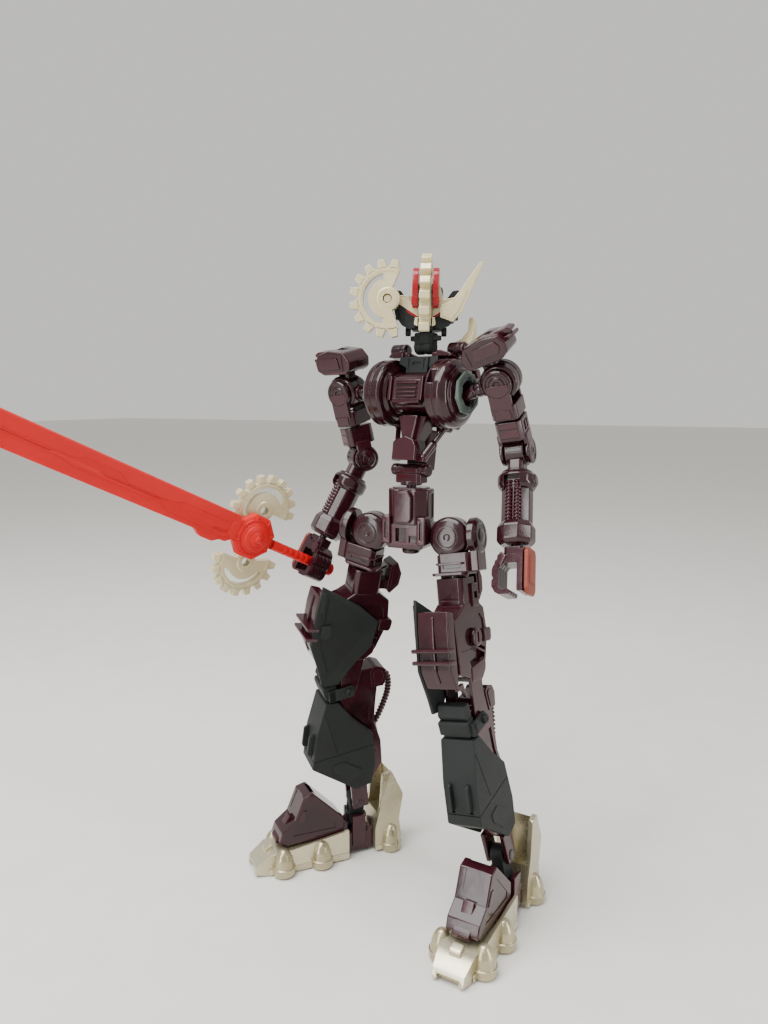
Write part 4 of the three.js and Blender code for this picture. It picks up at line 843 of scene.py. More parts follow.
BELL = [(0, -11), (4.3, -11), (4.8, -10.4), (5.1, -9.8), (5.1, -7.6), (4.7, -7), (4.2, -6.6), (4.2, -6.3),
        (3.9, -6), (0, -6)]
FINGER_ROWS = (-2.4, -0.8, 0.8, 2.4)
finger = [(3, -1.6), (1.8, -1.4), (1, -2.6), (-2.6, -3), (-4.3, -4.2), (-4.6, -5.4), (-4.9, -5.6), (-5, -6),
          (-5, -8.4), (-4.7, -8.7), (-5, -9), (-4.9, -11.2), (-4.3, -12.3), (-3.2, -12.9), (-0.6, -12.9),
          (-0.4, -11.8), (-0.9, -11.5), (-2.7, -11.5), (-3.3, -10.9), (-3.3, -5.8), (-2.6, -5), (1.5, -5),
          (1.5, -12.2), (3, -12.2)]
for side, name in ((1, "left"), (-1, "right")):
    arm = limb(name, side)
    limb_mould("clavicle", name, "clavicle", arm, [
        turned([(0, -4.4), (1.7, -4.4), (1.7, 1.2), (1.45, 1.3), (1.45, 2.1), (2.0, 2.3), (2.0, 3.7),
                (1.1, 3.8), (1.1, 7.2), (0, 7.2)], "x", 0.12),
    ], MAROON)
    limb_mould("shoulder_disc", name, "shoulder", arm, [
        turned(DISC, "y", 0.2, 72),
        turned([(0, -5.6), (2.1, -5.6), (2.4, -5.3), (2.4, -4.6), (2.2, -4.5), (2.4, -4.4), (2.4, -3),
                (0, -3)], "x", 0.1),
        carved(prism(4, 4, 0.6, 3.4, 5.8, 0.2, (-0.4, 0)), brick(-1.4, 0.6, -3, 3, 4.9, 5.3, 0)),
    ], MAROON)
    limb_mould("pauldron", name, "pauldron", arm, [
        carved(slab([(-5.4, 0.6), (-4, -0.3), (4.4, -0.6), (6.8, 0.6), (7.2, 3.2), (6, 5.4), (1.8, 6.4),
                     (-3.8, 5.7), (-5.8, 3.2)], -4.7, 4.7, "y", 0.6),
               brick(-4.4, 4.6, -3.2, 3.2, -4, 2.6, 0), brick(-3.4, -3.1, -5, -4.45, 0.8, 4.8, 0),
               brick(-3.2, 3.4, -1.6, 1.6, 5.95, 8, 0),
               edge=0.1),
        *[slab([(-2.2, 1.4), (4.6, 1.1), (5.6, 2.6), (4.8, 4.4), (-1.4, 4.6)], *sorted((s * 4.4, s * 5.05)),
               "y", 0.2)
          for s in (-1, 1)],
        slab([(5.4, 2.6), (8.8, 2.9), (9.3, 3.4), (9.1, 4), (5.4, 4)], -2.6, 2.6, "y", 0.25),
        slab([(4.6, 4.5), (8.8, 4.4), (9, 5.2), (7.8, 5.9), (4.6, 5.9)], -2.2, 2.2, "y", 0.25),
        brick(6.2, 8, -1.4, 1.4, 3.8, 4.6, 0.1),
    ], MAROON)
    limb_mould("upper_arm", name, "upper_arm", arm, [
        *[turned(face, "y", 0.15) for face in (SHOULDER_FACE, flip(SHOULDER_FACE))], rod(PIN, -4.2, 4.2, "y"),
        carved(prism(7.1, 9.4, 1.2, -9.6, -5.6, 0.3, (0.1, 0)), rod(SHOULDER_WELL, -3.45, 3.45, "y", 0, 64),
               rod(1.6, -12, -4, "z", 0, 32), edge=0.1),
        *[brick(-2.9, 2.9, s * 4.15 - 0.6, s * 4.15 + 0.6, -7.4, 0, 0.2) for s in (-1, 1)],
        brick(-2.2, 2.2, -5.05, -4.5, -9, -6.6, 0.15),
    ], MAROON)
    grooves = [brick(-2.6, 2.9, -5, -3.95, z, z + 0.3, 0) for z in (-4.9, -2.4)]
    limb_mould("elbow_block", name, "elbow_block", arm, [
        rod(1.4, -0.6, 2.4, "z", 0.2),
        carved(prism(7.3, 8.4, 1.2, ELBOW + 4.4, -0.35, 0.3, (0.15, 0)),
               at(rod(4.5, -2.8, 2.8, "x", 0, 56), z=ELBOW), *grooves,
               brick(3.2, 5, -1.6, 1.6, -4, -1.4, 0), edge=0.1),
        brick(3.1, 3.9, -0.5, 0.5, -3.8, -1.6, 0.15),
        *twins(3.5, 0.6, -2.2, 2.2, ELBOW - 1, ELBOW + 5.6, 0.2),
        *[at(turned(disc, "x", 0.12), z=ELBOW) for disc in (ELBOW_DISC, flip(ELBOW_DISC))],
        at(rod(PIN, -3.7, 3.7, "x"), z=ELBOW),
    ], MAROON)
    knuckle_slots = [spun(brick(-1.9, 1.9, -5, -3.75, -0.18, 0.18, 0), "X", a) for a in (-30, -12, 6, 24)]
    limb_mould("forearm", name, "forearm", arm, [
        carved(rod(4, -2.5, 2.5, "x", 0.3, 64), rod(PIN_BORE, -5, 5, "x", 0, 32), *knuckle_slots, edge=0.08),
        prism(4.4, 5.2, 0.9, -7.4, -3, 0.25),
        carved(turned(BELL, "z", 0.3, 64), brick(-2.1, 2.1, -8, -3.1, -12, -8, 0), edge=0.15),
        at(turned([(0, 3.6), (1.7, 3.6), (1.9, 3.9), (1.9, 4.9), (1.3, 5.3), (0, 5.3)], "x"), z=-8.7),
        carved(prism(7.6, 6.8, 1.8, -20.8, -9.6, 0.3, (0, 0.4)), brick(-2.1, 2.1, -5, -1.9, -19.8, -8, 0),
               edge=0.15),
        brick(-0.16, 0.16, -3, -1.8, -19.8, -10.6, 0.05),
        carved(softened(spun(turned([(0, -25.9), (4.1, -25.9), (5, -24.8), (5, -21.2), (4.1, -19.7),
                                     (0, -19.7)], "z", 0, 8), "Z", EIGHTH / 2), 0.3),
               rod(1.3, -30, -24, "z", 0, 32), edge=0.1),
    ], MAROON)
    for s in (-1, 1):
        ribbed(f"forearm_spring_{name}_{'outer' if s > 0 else 'inner'}", f"{name}_forearm", arm["forearm"],
               [(s * 1.1, -2.85, z) for z in (-20, -9.4)], 1.02, 0.95, MAROON)
    fingers = [slab(eased(finger, 0.3, True), y - 0.76, y + 0.76, "y", 0.2) for y in FINGER_ROWS]
    pads = [brick(-5.3, -4.8, y - 0.5, y + 0.5, z, z + 2, 0.12) for y in FINGER_ROWS for z in (-8.1, -11)]
    limb_mould("hand", name, "hand", arm, [
        rod(PIN, -0.8, 2.6, "z"), prism(5.6, 5.2, 1, -3.4, -0.5, 0.3, (0.2, 0)), *fingers, *pads,
        slab([(-2.6, -1.9), (-3.7, -3), (-3.7, -5.4), (-2.4, -5.6), (-1.2, -3.2)], -3.5, -2.3, "y", 0.25),
    ], MAROON)
    limb_mould("palm_plate", name, "hand", arm, [
        slab([(-2.2, -0.9), (2.2, -0.9), (3, -2), (3, -11.4), (2, -12.8), (-2, -12.8), (-3, -11.4),
              (-3, -2)], 3.3, 4.4, "x", 0.3),
        slab([(-1.4, -2.6), (1.4, -2.6), (1.8, -3.4), (1.8, -10), (-1.8, -10), (-1.8, -3.4)], 4.1, 4.65, "x",
             0.2),
    ], ORANGE)
    screws(f"elbow_screws_{name}", f"{name}_elbow_block", arm["elbow_block"], [(3.95, 0, ELBOW)], (1, 0, 0),
           1, CHARCOAL)


# Legs. The same polished maroon ABS for the bones: a hip disc on the pelvis axle, a forked collar, a
# flat thigh with open side panels, and a shin with a calf cap and a ribbed hose down its rear.
def leg_seats(name, side):
    """Where each body of one leg sits. Pieces are drawn for the left leg and mirrored for the right."""
    here, axis = joint_finder(name)
    bend, turn, roll = axis("knee_bend"), axis("thigh_turn", side), axis("ankle_roll", -side)
    spread = axis("hip_spread", -side)
    shin_up = (here("knee_bend") - here("ankle_pitch")).normalized()
    return {
        "hip": seat(here("hip_swing"), x=axis("hip_swing"), y=spread, side=side),
        "thigh_collar": seat(here("hip_spread"), y=spread, z=turn, side=side),
        "thigh": seat(here("thigh_turn"), x=bend, z=turn, side=side),
        "shin": seat(here("knee_bend"), x=bend, z=shin_up, side=side),
        "ankle": seat(here("ankle_pitch"), x=axis("ankle_pitch"), y=roll, side=side),
        "foot": seat(here("ankle_roll"), y=roll, z=Vector((0, 0, 1)), side=side),
    }


def flow(route, steps=10):
    """A smooth path through a few points, in the middle plane of the leg."""
    ends = [Vector((0, *p)) for p in [route[0], *route, route[-1]]]
    path = []
    for a, b, c, d in zip(ends, ends[1:], ends[2:], ends[3:]):
        for i in range(steps):
            t = i / steps
            square, cube = 2 * a - 5 * b + 4 * c - d, 3 * b - a - 3 * c + d
            path.append(0.5 * (2 * b + (c - a) * t + square * t * t + cube * t ** 3))
    return [*path, ends[-1]]


def across_face(s):
    """From just inside the shin shell's outer face to well outside it, on one side."""
    return sorted((s * (SHIN_SHELL - PANEL_LINE), s * (SHIN_SHELL + 1)))


HIP_FACE = [(0, -3.42), (0.7, -3.42), (0.9, -3.6), (2.6, -3.55), (2.8, -3.42), (3, -3.5), (4.5, -3.25),
            (5.2, -2.8), (5.55, -2.1), (5.55, -0.35), (5.3, -0.25)]
HIP_WELL = 5.85
HOSE_ROUTE = [(11, 1), (13.6, -1.5), (13.4, -7), (10.4, -13.5), (7.4, -18)]
KNEE = -37.3
ANKLE = -42.3
PANEL_LINE = 0.14
THIGH_SHELL = 5.3
SHIN_SHELL = 4.9
for side, name in ((1, "left"), (-1, "right")):
    leg = leg_seats(name, side)
    limb_mould("hip_disc", name, "hip", leg, [
        at(turned(HIP_FACE + flip(HIP_FACE), "y", 0.25, 80), x=4.5),
        turned([(0, -0.7), (2.3, -0.7), (2.6, -0.4), (2.6, 0.2), (2.35, 0.3), (2.35, 0.6), (2.6, 0.7),
                (2.6, 1.6), (0, 1.6)], "x", 0.1),
    ], MAROON)
    outer_disc = [(0, 6), (5, 6), (5, 7.7), (4.2, 8.6), (3.4, 8.7), (3.2, 8.5), (2.2, 8.5), (2, 8.75),
                  (0.8, 8.9), (0, 8.9)]
    limb_mould("thigh_collar", name, "thigh_collar", leg, [
        carved(at(turned(outer_disc, "x", 0.2, 72), z=-0.2), rod(HIP_WELL, -3.45, 3.45, "y", 0, 64),
               edge=0.1),
        carved(brick(6, 8.2, -3.2, 3.2, -9.4, -2, 0.3), rod(HIP_WELL, -3.45, 3.45, "y", 0, 64), edge=0.1),
        carved(prism(10, 7.8, 1.2, -9.4, -4.2, 0.3, (1.4, 0)), rod(HIP_WELL, -3.45, 3.45, "y", 0, 64),
               brick(-1.6, 3.4, -5, -3.6, -8.2, -6.8, 0), edge=0.1),
        prism(10.2, 9, 1.2, -10.1, -9.3, 0.2, (0.1, -0.3)),
        prism(8.6, 8.6, 1, -7.3, -6.7, 0.15, (0.6, -0.35)),
        at(turned([(0, 3.8), (2.7, 3.8), (2.7, 4.9), (2.3, 5.3), (1.2, 5.3), (1, 5.05), (0, 5.05)], "y",
                  0.12)),
        carved(brick(-2.4, 2.4, 3.8, 5.2, -9.4, 0, 0.2), brick(-1.2, 1.2, 4.9, 6, -7.4, -3.4, 0)),
        rod(PIN, -1.6, 4.8, "y"), rod(1.5, -12.9, -9.4, "z", 0.2),
    ], MAROON)

    side_panel = [(-5.4, -11.4), (4.6, -10.4), (6.2, -12.2), (6.6, -15), (1.2, -15.4), (-2, -19.4),
                  (-7.4, -19.4), (-7.8, -13)]
    low_panel = [(-0.6, -17.4), (6.2, -19.8), (4.6, -23.4), (2.6, -25.4), (-2, -25.4), (-3.6, -21.6)]
    main = carved(
        slab([(-3.6, -7.2), (4.4, -7.2), (7.4, -9), (8.4, -16), (6, -24), (3.4, -27.4), (-2, -27.4),
              (-9, -25), (-10.2, -11), (-6, -9)], -4.2, 4.2, "x", 0.4),
        *both_sides(side_panel, 3.85, 5, 0), *both_sides(low_panel, 2.9, 5, 0), edge=0.12)
    ears = [slab(eased([(-4, -26), (3, -26), (2.6, KNEE + 1), (0.8, KNEE - 1.8), (-1.6, KNEE - 1.8),
                        (-2.8, KNEE + 1)], 0.9, True),
                 *sorted((s * 3.3, s * 4.2)), "x", 0.2) for s in (-1, 1)]
    limb_mould("thigh", name, "thigh", leg, [
        main, *ears, rod(PIN, -3.8, 3.8, "x"),
        *both_sides([(-1.3, -18.6), (-0.8, -18.2), (5.8, -20.6), (5.4, -21.2)], 2.7, 4.3),
        carved(prism(8, 8.4, 0.9, -8, -0.45, 0.3), rod(1.7, -9, 1, "z", 0, 32),
               brick(-2.8, 2.8, -5, -4.05, -6.4, -5.9, 0), edge=0.1),
        carved(brick(3.6, 4.7, 0.4, 4, -8.4, -2.2, 0.2), brick(3, 6, 1.3, 3.1, -6.2, -4.4, 0), edge=0.1),
        slab([(6.3, -6), (6.4, 1), (8.4, 2.4), (10.2, -1), (10, -4.6), (7.4, -7.4)], -3.2, 3.2, "x", 0.4),
        slab([(7.2, -5.4), (7.2, 0.2), (8.4, 1.2), (9.4, -1.2), (9.2, -4.2)], -3.45, 3.45, "x", 0.15),
        brick(-2, 2, 3, 7, -6.4, -3.6, 0.2),
        carved(slab([(5.2, -18.2), (5.2, -14.8), (8.8, -14.6), (9.4, -15.4), (9.2, -17.6), (8.6, -18.4)],
                    -4.9, 4.9, "x", 0.3),
               brick(-2, 2, 9, 10, -17.4, -15.6, 0), edge=0.1),
        carved(at(turned([(0, 3.9), (2.3, 3.9), (2.5, 4.2), (2.5, 5), (2.1, 5.3), (0, 5.3)], "x"), y=0.5,
                  z=-16.4),
               at(brick(4.6, 6, -0.45, 0.45, -1.3, 1.3, 0), y=0.5, z=-16.4), edge=0.1),
        slab([(-3, -24), (5, -22.4), (5.6, -24), (5.2, -25.6), (3, -27.8), (-3, -27.8)], -4.45, 4.45, "x",
             0.35),
        slab([(2.4, -22.6), (6, -21.9), (6.3, -22.8), (5.6, -24.6)], -4, 4, "x", 0.3),
    ], MAROON)

    # Shin: the calf cap hooks over the top, and the hose runs from under it to the lower rear.
    shin_outline = [(-3, -4), (-1, 1), (2, 4), (8.6, 4), (10, 1), (8.4, -7.6), (7.4, -14.4), (9, -22),
                    (8.8, -30), (4, -36.6), (-0.6, -36.6), (-2.6, -30)]
    shin_panel = [(0.4, -6), (6.4, -6.6), (5.8, -13), (6.8, -20), (2.4, -18), (0.4, -12)]
    limb_mould("shin", name, "shin", leg, [
        carved(slab(shin_outline, -2.9, 2.9, "x", 0.4), rod(PIN_BORE, -6, 6, "x", 0, 32),
               *both_sides(shin_panel, 2.5, 5, 0),
               *both_sides([(2, -24), (6.8, -24.6), (6.8, -25.2), (2, -24.6)], 2.6, 5, 0), edge=0.12),
        carved(rod(3.2, -2.95, 2.95, "x", 0.3, 64), rod(PIN_BORE, -6, 6, "x", 0, 32), edge=0.1),
        slab(eased([(7.4, -2.4), (11.2, -2.8), (12.6, 0.6), (12, 3), (9.4, 4.4), (7.4, 3.4)], 0.5, True),
             -3.2, 3.2, "x", 0.45),
        slab([(8.2, -1.4), (10.6, -1.6), (11.6, 0.8), (11.1, 2.3), (9.4, 3.2), (8.2, 2.6)], -3.45, 3.45, "x",
             0.15),
        slab([(6.6, -16.4), (8.4, -16.8), (8.8, -19.4), (7.4, -20.2)], -1.5, 1.5, "x", 0.3),
        *[carved(brick(s * 2.9 - 0.6, s * 2.9 + 0.6, -2.2, 3, ANKLE - 1.6, -35.4, 0.2),
                 at(rod(3.1, -2.15, 2.15, "x", 0, 48), z=ANKLE), edge=0.08)
          for s in (-1, 1)],
        at(rod(PIN, -2.6, 2.6, "x"), z=ANKLE),
        *[at(turned([(0, s * 3.5), (1.5, s * 3.5), (1.3, s * 3.75), (0, s * 3.75)], "x", 0.08), z=ANKLE)
          for s in (-1, 1)],
    ], MAROON)
    ribbed(f"calf_hose_{name}", f"{name}_shin", leg["shin"], flow(HOSE_ROUTE), 1.05, 1.05, MAROON)

    # Armour: matt charcoal ABS shells clipped over the bones. Panel lines are cut as shallow grooves.
    kite = [(-14, -5), (-2, -10.5), (4.6, -15.2), (4, -23), (0, -28), (-4.4, -35.2), (-9.4, -35.2),
            (-11, -31), (-14.6, -23.4), (-14.6, -12.6)]
    border = [(-11.9, -8), (-11.6, -8.2), (-11.6, -22.8), (-8.2, -30.6), (-8.6, -30.8), (-11.9, -23)]
    limb_mould("thigh_armour", name, "thigh", leg, [
        carved(slab(kite, -THIGH_SHELL, 0.9 - THIGH_SHELL, "x", 0.25),
               slab(border, -THIGH_SHELL - 1, PANEL_LINE - THIGH_SHELL, "x", 0), edge=0),
        slab([(-12.4, -16.6), (-10, -16.2), (-9.4, -17.4), (-9.6, -20.2), (-11.8, -20.6), (-12.6, -19.4)],
             -THIGH_SHELL - 0.75, 0.3 - THIGH_SHELL, "x", 0.25),
        slab([(-13.9, -12.8), (-13.9, -6.4), (-12.6, -6.4), (-12.6, -12.8)], -THIGH_SHELL - 0.3,
             0.3 - THIGH_SHELL, "x", 0.15),
    ], CHARCOAL)
    front = [(-14.1, -8.2), (-11, -8.8), (-11, -28.2), (-12.2, -28.2), (-14.6, -23.4), (-14.6, -12.6)]
    mould(f"thigh_front_{name}_moulding", f"{name}_thigh", leg["thigh"], [
        carved(slab(front, 0.95 - THIGH_SHELL, THIGH_SHELL - 0.7, "x", 0.45),
               *[brick(*sorted((s * 1.1, s * 3.8)), -16, -14.35, -20.5, -18.5, 0) for s in (-1, 1)],
               edge=0.12),
        *[slab([(-13, z - 0.5), (-16.4, z - 0.5), (-16.6, z - 0.2), (-16.6, z + 0.5), (-13, z + 0.5)],
               -THIGH_SHELL - 0.2, THIGH_SHELL + 0.2, "x", 0.15) for z in (-18, -21)],
        slab([(-13, -9.2), (-14.7, -9.6), (-15.2, -16), (-15.2, -23), (-13.2, -27)], -0.6, 0.6, "x", 0.25),
        slab([(-11.8, -27.6), (-8.6, -27), (-8.2, -28.2), (-6.6, -30.4), (-7.4, -31), (-9.4, -28.6),
              (-11.8, -28.8)], THIGH_SHELL - 1.7, THIGH_SHELL - 0.75, "x", 0.2),
    ], MAROON)
    limb_mould("knee_cap", name, "shin", leg, [
        slab([(-6.8, 2.4), (-4, 2.2), (-4, 6.4), (-6.4, 6.4), (-7.6, 3.8)], -4.1, 4.1, "x", 0.35),
        slab([(-7.4, -1.6), (-4, -2), (-4, 2.4), (-7.7, 2.4), (-8, 1.4)], -4.3, 4.3, "x", 0.3),
        slab([(-7.1, -2.2), (-4, -2.4), (-4, -1.7), (-7.2, -1.6)], -3.9, 3.9, "x", 0.2),
        *both_sides([(-6.4, -2.2), (1, -2.2), (1.5, -1.2), (1.5, 0.6), (0.8, 1.4), (-6.4, 1.4)], 4.5, 5.2),
        brick(-5.2, 5.2, -6.6, -4.4, -2.2, 1.4, 0.2),
        *[at(turned([(0, s * 5), (1.25, s * 5), (1.25, s * 6), (1, s * 6.3), (0.5, s * 6.35),
                     (0.4, s * 6.15), (0, s * 6.15)], "x", 0.1), y=-0.4, z=-0.2)
          for s in (-1, 1)],
    ], CHARCOAL)
    shield = [(-7.6, -2.7), (-4, -3), (0.6, -10.5), (6, -17), (6, -28), (4, -35), (-1, -35.6), (-14, -23.6),
              (-11.6, -13)]
    lines = [brick(-SHIN_SHELL - 1, SHIN_SHELL + 1, -16, -13.15, -21.2, -20.95, 0)]
    lines += [brick(*across_face(s), -13, 7, -21.2, -20.95, 0) for s in (-1, 1)]
    lines += both_sides([(-8.4, -6), (-8.1, -6), (-5.6, -20), (-5.9, -20)], SHIN_SHELL - PANEL_LINE,
                        SHIN_SHELL + 1, 0)
    lean = math.degrees(math.atan2(2.4, 10.6))
    limb_mould("shin_armour", name, "shin", leg, [
        carved(slab(shield, -SHIN_SHELL, SHIN_SHELL, "x", 0.4),
               slab([(-5.2, -1), (10, -1), (10, -46), (-4, -46), (-11, -24.6), (-8.8, -14)],
                    1.1 - SHIN_SHELL, SHIN_SHELL - 1.1, "x", 0), *lines,
               *twins(2.6, 0.45, -16, -12.6, -20.7, -19.8, 0), edge=0.12),
        *[at(spun(slab([(0.6, -3.4), (-0.9, -3.4), (-1.3, -2.8), (-1.3, 3), (-0.5, 3.6), (0.6, 3.6)],
                       s * 2.6 - 0.45, s * 2.6 + 0.45, "x", 0.2), "X", -lean),
             y=-12.6, z=-16.4) for s in (-1, 1)],
        *both_sides([(-7.6, -24.4), (-4, -24), (1.4, -28.6), (1.2, -31), (-3, -31.4), (-7.6, -26.6)],
                    SHIN_SHELL - 0.2, SHIN_SHELL + 0.25, 0.15),
    ], CHARCOAL)
    limb_mould("ankle", name, "ankle", leg, [
        carved(rod(2.7, -1.8, 1.8, "x", 0.25, 56), rod(PIN_BORE, -6, 6, "x", 0, 32), edge=0.08),
        carved(brick(-1.8, 1.8, -2.4, 2.4, -6.4, -1, 0.25), brick(-1, 1, -3, -2, -4.8, -2.8, 0), edge=0.08),
        at(carved(rod(2.4, -2.5, 2.5, "y", 0.25, 56), rod(PIN_BORE, -6, 6, "y", 0, 32), edge=0.08), z=-7),
    ], CHARCOAL)


# Feet. The instep is maroon like the leg. The toe shell and heel are ABS lacquered champagne gold, a
# fine metal flake with a painted glint on each flake under a thin clear coat, with egg-shaped pods moulded on
# their sides.
def lacquer(name, deep, light, rough):
    """Sprayed metallic paint: fine flakes that tilt, each with a painted glint at its centre, slight
    cloudiness, and an even clear coat.
    """
    material, tree, place = empty_material(name)
    cloud = noise(tree, place, 5, Detail=3)
    flake = wire(tree, "ShaderNodeTexVoronoi", {"Vector": place,
                                                "Scale": 1 / (0.16 * MM)}).outputs["Distance"]
    tint = blend(tree, cloud, colour(deep), colour(light))
    # Each flake's centre is blended up to 14% towards near-white f6efd8: a painted glint on the flake.
    flakes_with_painted_glints = blend(tree, stretch(tree, flake, 0, 0.8, 0.14, 0), tint, colour("f6efd8"))
    # The sharp edges are lightened up to 60% towards pale efe8d0: partly rubbed wear, partly a painted
    # highlight.
    surfaced(tree, flakes_with_painted_glints, "efe8d0", (0.51, 0.6, 0, 0.6), cloud, rough, flake, 0.4, 0.008, {
        "Metallic": 0.8, "Coat Weight": 0.35, "Coat Roughness": 0.2})
    return material


def egg(r, height, x, y, z):
    """A pod: a domed top, a thin raised band, and a fuller bowl under it."""
    profile = [(0, 0), (0.8 * r, 0), (1.04 * r, 0.25 * r), (1.06 * r, 0.8 * r), (1.09 * r, 0.84 * r),
               (1.09 * r, 0.93 * r), (0.98 * r, 0.95 * r), (0.93 * r, 1.25 * r), (0.84 * r, 0.64 * height),
               (0.62 * r, 0.83 * height), (0.36 * r, 0.95 * height), (0, height)]
    return at(turned(profile, "z", 0.3, 56), x=x, y=y, z=z)


GOLD = (lacquer("champagne_metallic_lacquer", "968b6c", "b5aa86", (0.24, 0.34)), "champagne_paint")
SOLE = -11
for side, name in ((1, "left"), (-1, "right")):
    leg = leg_seats(name, side)
    peak = [(-26, SOLE + 9.6), (-25, SOLE + 12.4), (-21, SOLE + 15.4), (-18, SOLE + 22.6),
            (-15, SOLE + 23.4), (-5.4, SOLE + 14), (-5.2, SOLE + 8.4), (-25, SOLE + 8.2)]
    limb_mould("instep", name, "foot", leg, [
        carved(slab(peak, -4.65, 4.65, "x", 0.4), brick(-5, 5, -2.85, 2.85, SOLE + 7.8, SOLE + 26, 0),
               slab([(-24.4, SOLE + 14), (-20.2, SOLE + 17), (-17.2, SOLE + 24), (-26, SOLE + 24)], -2.6,
                    2.6, "x", 0),
               brick(-3, 3, -15.6, -14, SOLE + 18, SOLE + 26, 0),
               *both_sides([(-21.6, SOLE + 11), (-17.4, SOLE + 19), (-14.8, SOLE + 20), (-8, SOLE + 12.6),
                            (-8, SOLE + 11)], 4.45, 6, 0), edge=0.15),
        slab([(-26.4, SOLE + 8.4), (-26.6, SOLE + 9.8), (-24.8, SOLE + 11.6), (-23.4, SOLE + 12.4),
              (-22, SOLE + 8.4)], -2.4, 2.4, "x", 0.25),
        slab([(-24.4, SOLE + 12), (-21.8, SOLE + 16.2), (-20.8, SOLE + 15), (-22, SOLE + 12)], -1.6, 1.6,
             "x", 0.25),
        *both_sides([(-20.4, SOLE + 15), (-18.6, SOLE + 18.4), (-17.2, SOLE + 18.4), (-18, SOLE + 15)], 3.4,
                    4.9, 0.2),
        brick(-3.6, 3.6, -6.6, 4.6, SOLE + 1.2, SOLE + 7.4, 0.3),
        brick(-3, 3, -6.6, -3.4, SOLE + 3, SOLE + 11, 0.2),
        *twins(3.6, 0.7, -2.2, 2.2, SOLE + 3, SOLE + 13, 0.3),
        rod(PIN, -3.6, 3.6, "y"), *twins(3.5, 0.5, 2.8, 4.4, SOLE + 7, SOLE + 8.6, 0.2),
    ], MAROON)
    toe = slab([(-33.6, SOLE + 1), (-33, SOLE + 3.4), (-28.6, SOLE + 6.6), (-4, SOLE + 9.8),
                (-4, SOLE + 0.4), (-30, SOLE + 0.2)], -6, 6, "x", 0)
    plan_waste = wings([(4.14, -35), (9, -35), (9, -23), (5.75, -23)], SOLE - 2, SOLE + 12, "z", 0)
    bed = [brick(-5, 5, -26.6, 2, SOLE + 7.8, SOLE + 16, 0), brick(-5, 5, -7, 2, SOLE - 2, SOLE + 16, 0)]
    nose = slab([(-36, SOLE - 1), (-36, SOLE + 2.4), (-32.6, SOLE + 2.2), (-31.9, SOLE - 1)], -3, 3, "x", 0)
    ledges = both_sides([(-29.6, SOLE + 0.4), (-29.4, SOLE + 2.2), (-4.1, SOLE + 2.7), (-4.1, SOLE + 0.6)],
                        4.9, 6.15, 0.12)
    trims = wings([(5.1, -31), (7, -31), (7, -23), (6.15, -23)], SOLE - 1, SOLE + 6, "z", 0)
    limb_mould("toe_shell", name, "foot", leg, [
        carved(toe, *plan_waste, *bed, nose, edge=0.14),
        *[carved(ledge, trim, edge=0.1) for ledge, trim in zip(ledges, trims)],
        *[egg(3.2, 8.6, s * 5.9, y, SOLE) for s in (-1, 1) for y in (-25, -13)],
        slab([(-30, SOLE + 4.6), (-29.8, SOLE + 6.9), (-29.2, SOLE + 7.4), (-27.4, SOLE + 8),
              (-27.4, SOLE + 4.6)], -1.6, 1.6, "x", 0.3),
    ], GOLD)
    plate = eased([(5, SOLE + 1), (12, SOLE + 0.2), (14, SOLE + 4), (13.2, SOLE + 10), (14.6, SOLE + 18),
                   (10.6, SOLE + 26.4), (7.6, SOLE + 25.4), (6.8, SOLE + 15), (5, SOLE + 8)], 0.6, True)
    limb_mould("heel", name, "foot", leg, [
        carved(slab(plate, -5.35, 5.35, "x", 0.3), brick(-4, 4, 3, 11.4, SOLE + 12.6, SOLE + 30, 0),
               brick(-1.2, 1.2, 13.7, 16, SOLE + 6, SOLE + 9, 0),
               edge=0.2),
        *both_sides([(5.1, SOLE + 0.8), (5.1, SOLE + 2.2), (13.2, SOLE + 2.6), (13, SOLE + 0.6)], 4.9, 5.6,
                    0.12),
        *[carved(egg(3.1, 8.8, s * 5, 10.4, SOLE), slab([(11.4, SOLE - 1), (11.6, SOLE - 1),
                                                         (11.6, SOLE + 9), (11.4, SOLE + 9)],
                                                         *sorted((s * 5.5, s * 9)), "x", 0), edge=0)
          for s in (-1, 1)],
    ], GOLD)


# Floor. A large flat board under the figure, painted with pale matt emulsion.
FLOOR_Z = cad_box[0][2]
FLOOR_HALF = 4
hips = (spot("left_hip_swing") + spot("right_hip_swing")) / 2
under_hips = Vector((hips.x, hips.y, FLOOR_Z))
matt = bpy.data.materials.new("pale_matt_emulsion_on_board")
matt.use_nodes = True
tree = matt.node_tree
paint = tree.nodes["Principled BSDF"]
brushed = wire(tree, "ShaderNodeTexNoise", {
    "Vector": wire(tree, "ShaderNodeTexCoord").outputs["Object"], "Scale": 60, "Detail": 3})
tree.links.new(blend(tree, brushed.outputs["Fac"], colour("d9d7d2"), colour("e4e2dd")),
               paint.inputs["Base Color"])
paint.inputs["Roughness"].default_value = 0.75
board = bmesh.new()
bmesh.ops.create_grid(board, x_segments=1, y_segments=1, size=FLOOR_HALF)
floor = loose(at(board, *under_hips), "studio_floor")
floor.data.materials.append(matt)


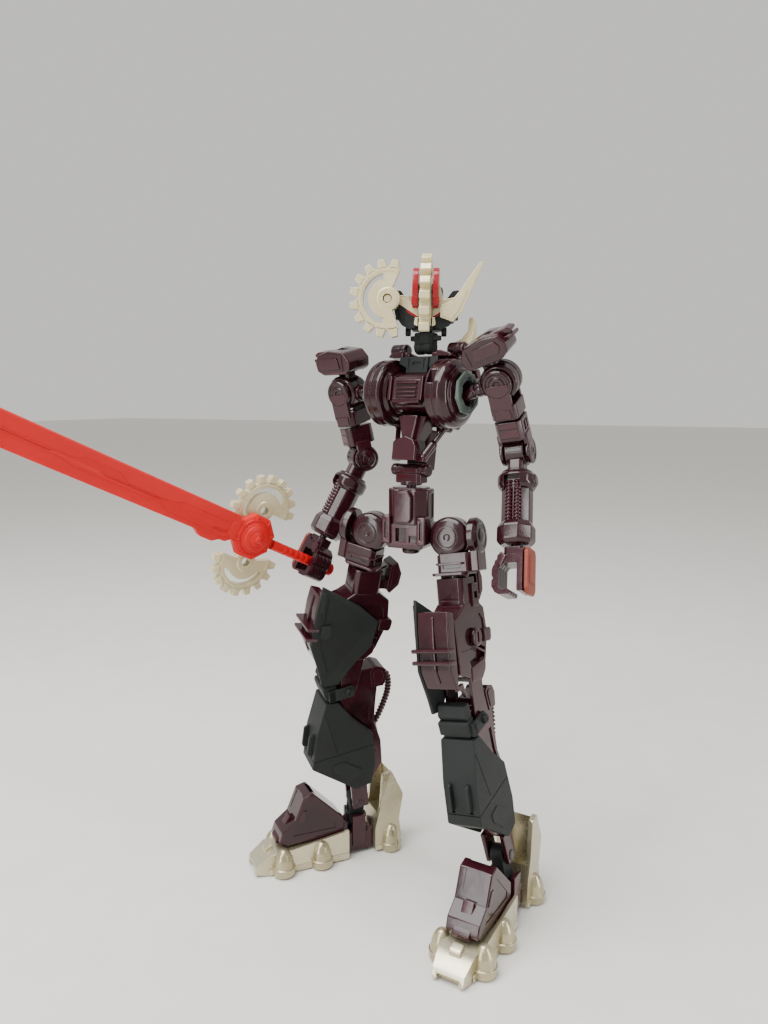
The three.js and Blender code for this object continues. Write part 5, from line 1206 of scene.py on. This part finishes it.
# Studio light. A wide softbox above, a tall strip each side for long highlights, and an even pale room.
CAMERA_TURN = math.radians(27)
CHEST_HEIGHT = 110 * MM
world = bpy.data.worlds.new("pale_room")
bpy.context.scene.world = world
world.use_nodes = True
room = world.node_tree.nodes["Background"]
room.inputs["Color"].default_value = colour("f2f1ee")
room.inputs["Strength"].default_value = 0.85
ahead = Vector((-math.sin(CAMERA_TURN), math.cos(CAMERA_TURN), 0))
right = Vector((math.cos(CAMERA_TURN), math.sin(CAMERA_TURN), 0))
aim = under_hips + Vector((0, 0, CHEST_HEIGHT))
for label, back, aside, rise, size, watts in (
    ("overhead_softbox", -0.15, -0.2, 0.62, (0.5, 0.5), 7),
    ("left_strip", -0.4, -0.42, 0.22, (0.12, 0.6), 1.8),
    ("right_strip", -0.3, 0.5, 0.16, (0.1, 0.6), 2),
):
    lamp = bpy.data.lights.new(label, "AREA")
    lamp.shape = "RECTANGLE"
    lamp.size, lamp.size_y = size
    lamp.energy = watts
    lit = placed(label, lamp)
    lit.location = under_hips + back * ahead + aside * right + Vector((0, 0, rise))
    lit.rotation_euler = (aim - lit.location).to_track_quat("-Z", "Y").to_euler()


# Camera. A phone held a hand's reach in front of the figure, above its chest and tipped down.
CAMERA_TILT = math.radians(8)
CAMERA_RISE, CAMERA_ASIDE, CAMERA_BACK = 143, 7.5, 223
lens = bpy.data.cameras.new("camera")
lens.sensor_fit = "VERTICAL"
lens.sensor_height = 36
lens.lens = 28.8
lens.clip_start = 0.01
camera = placed("camera", lens)
above_hips = Vector((hips.x, hips.y, FLOOR_Z + CAMERA_RISE * MM))
camera.location = above_hips - (CAMERA_ASIDE * right + CAMERA_BACK * ahead) * MM
view = ahead * math.cos(CAMERA_TILT) - Vector((0, 0, math.sin(CAMERA_TILT)))
camera.rotation_euler = view.to_track_quat("-Z", "Y").to_euler()
bpy.context.scene.camera = camera


# Size. Rounds a box's lowest and highest corner, in metres, to five places.
def corners(box):
    return [[round(value, 5) for value in corner] for corner in box]
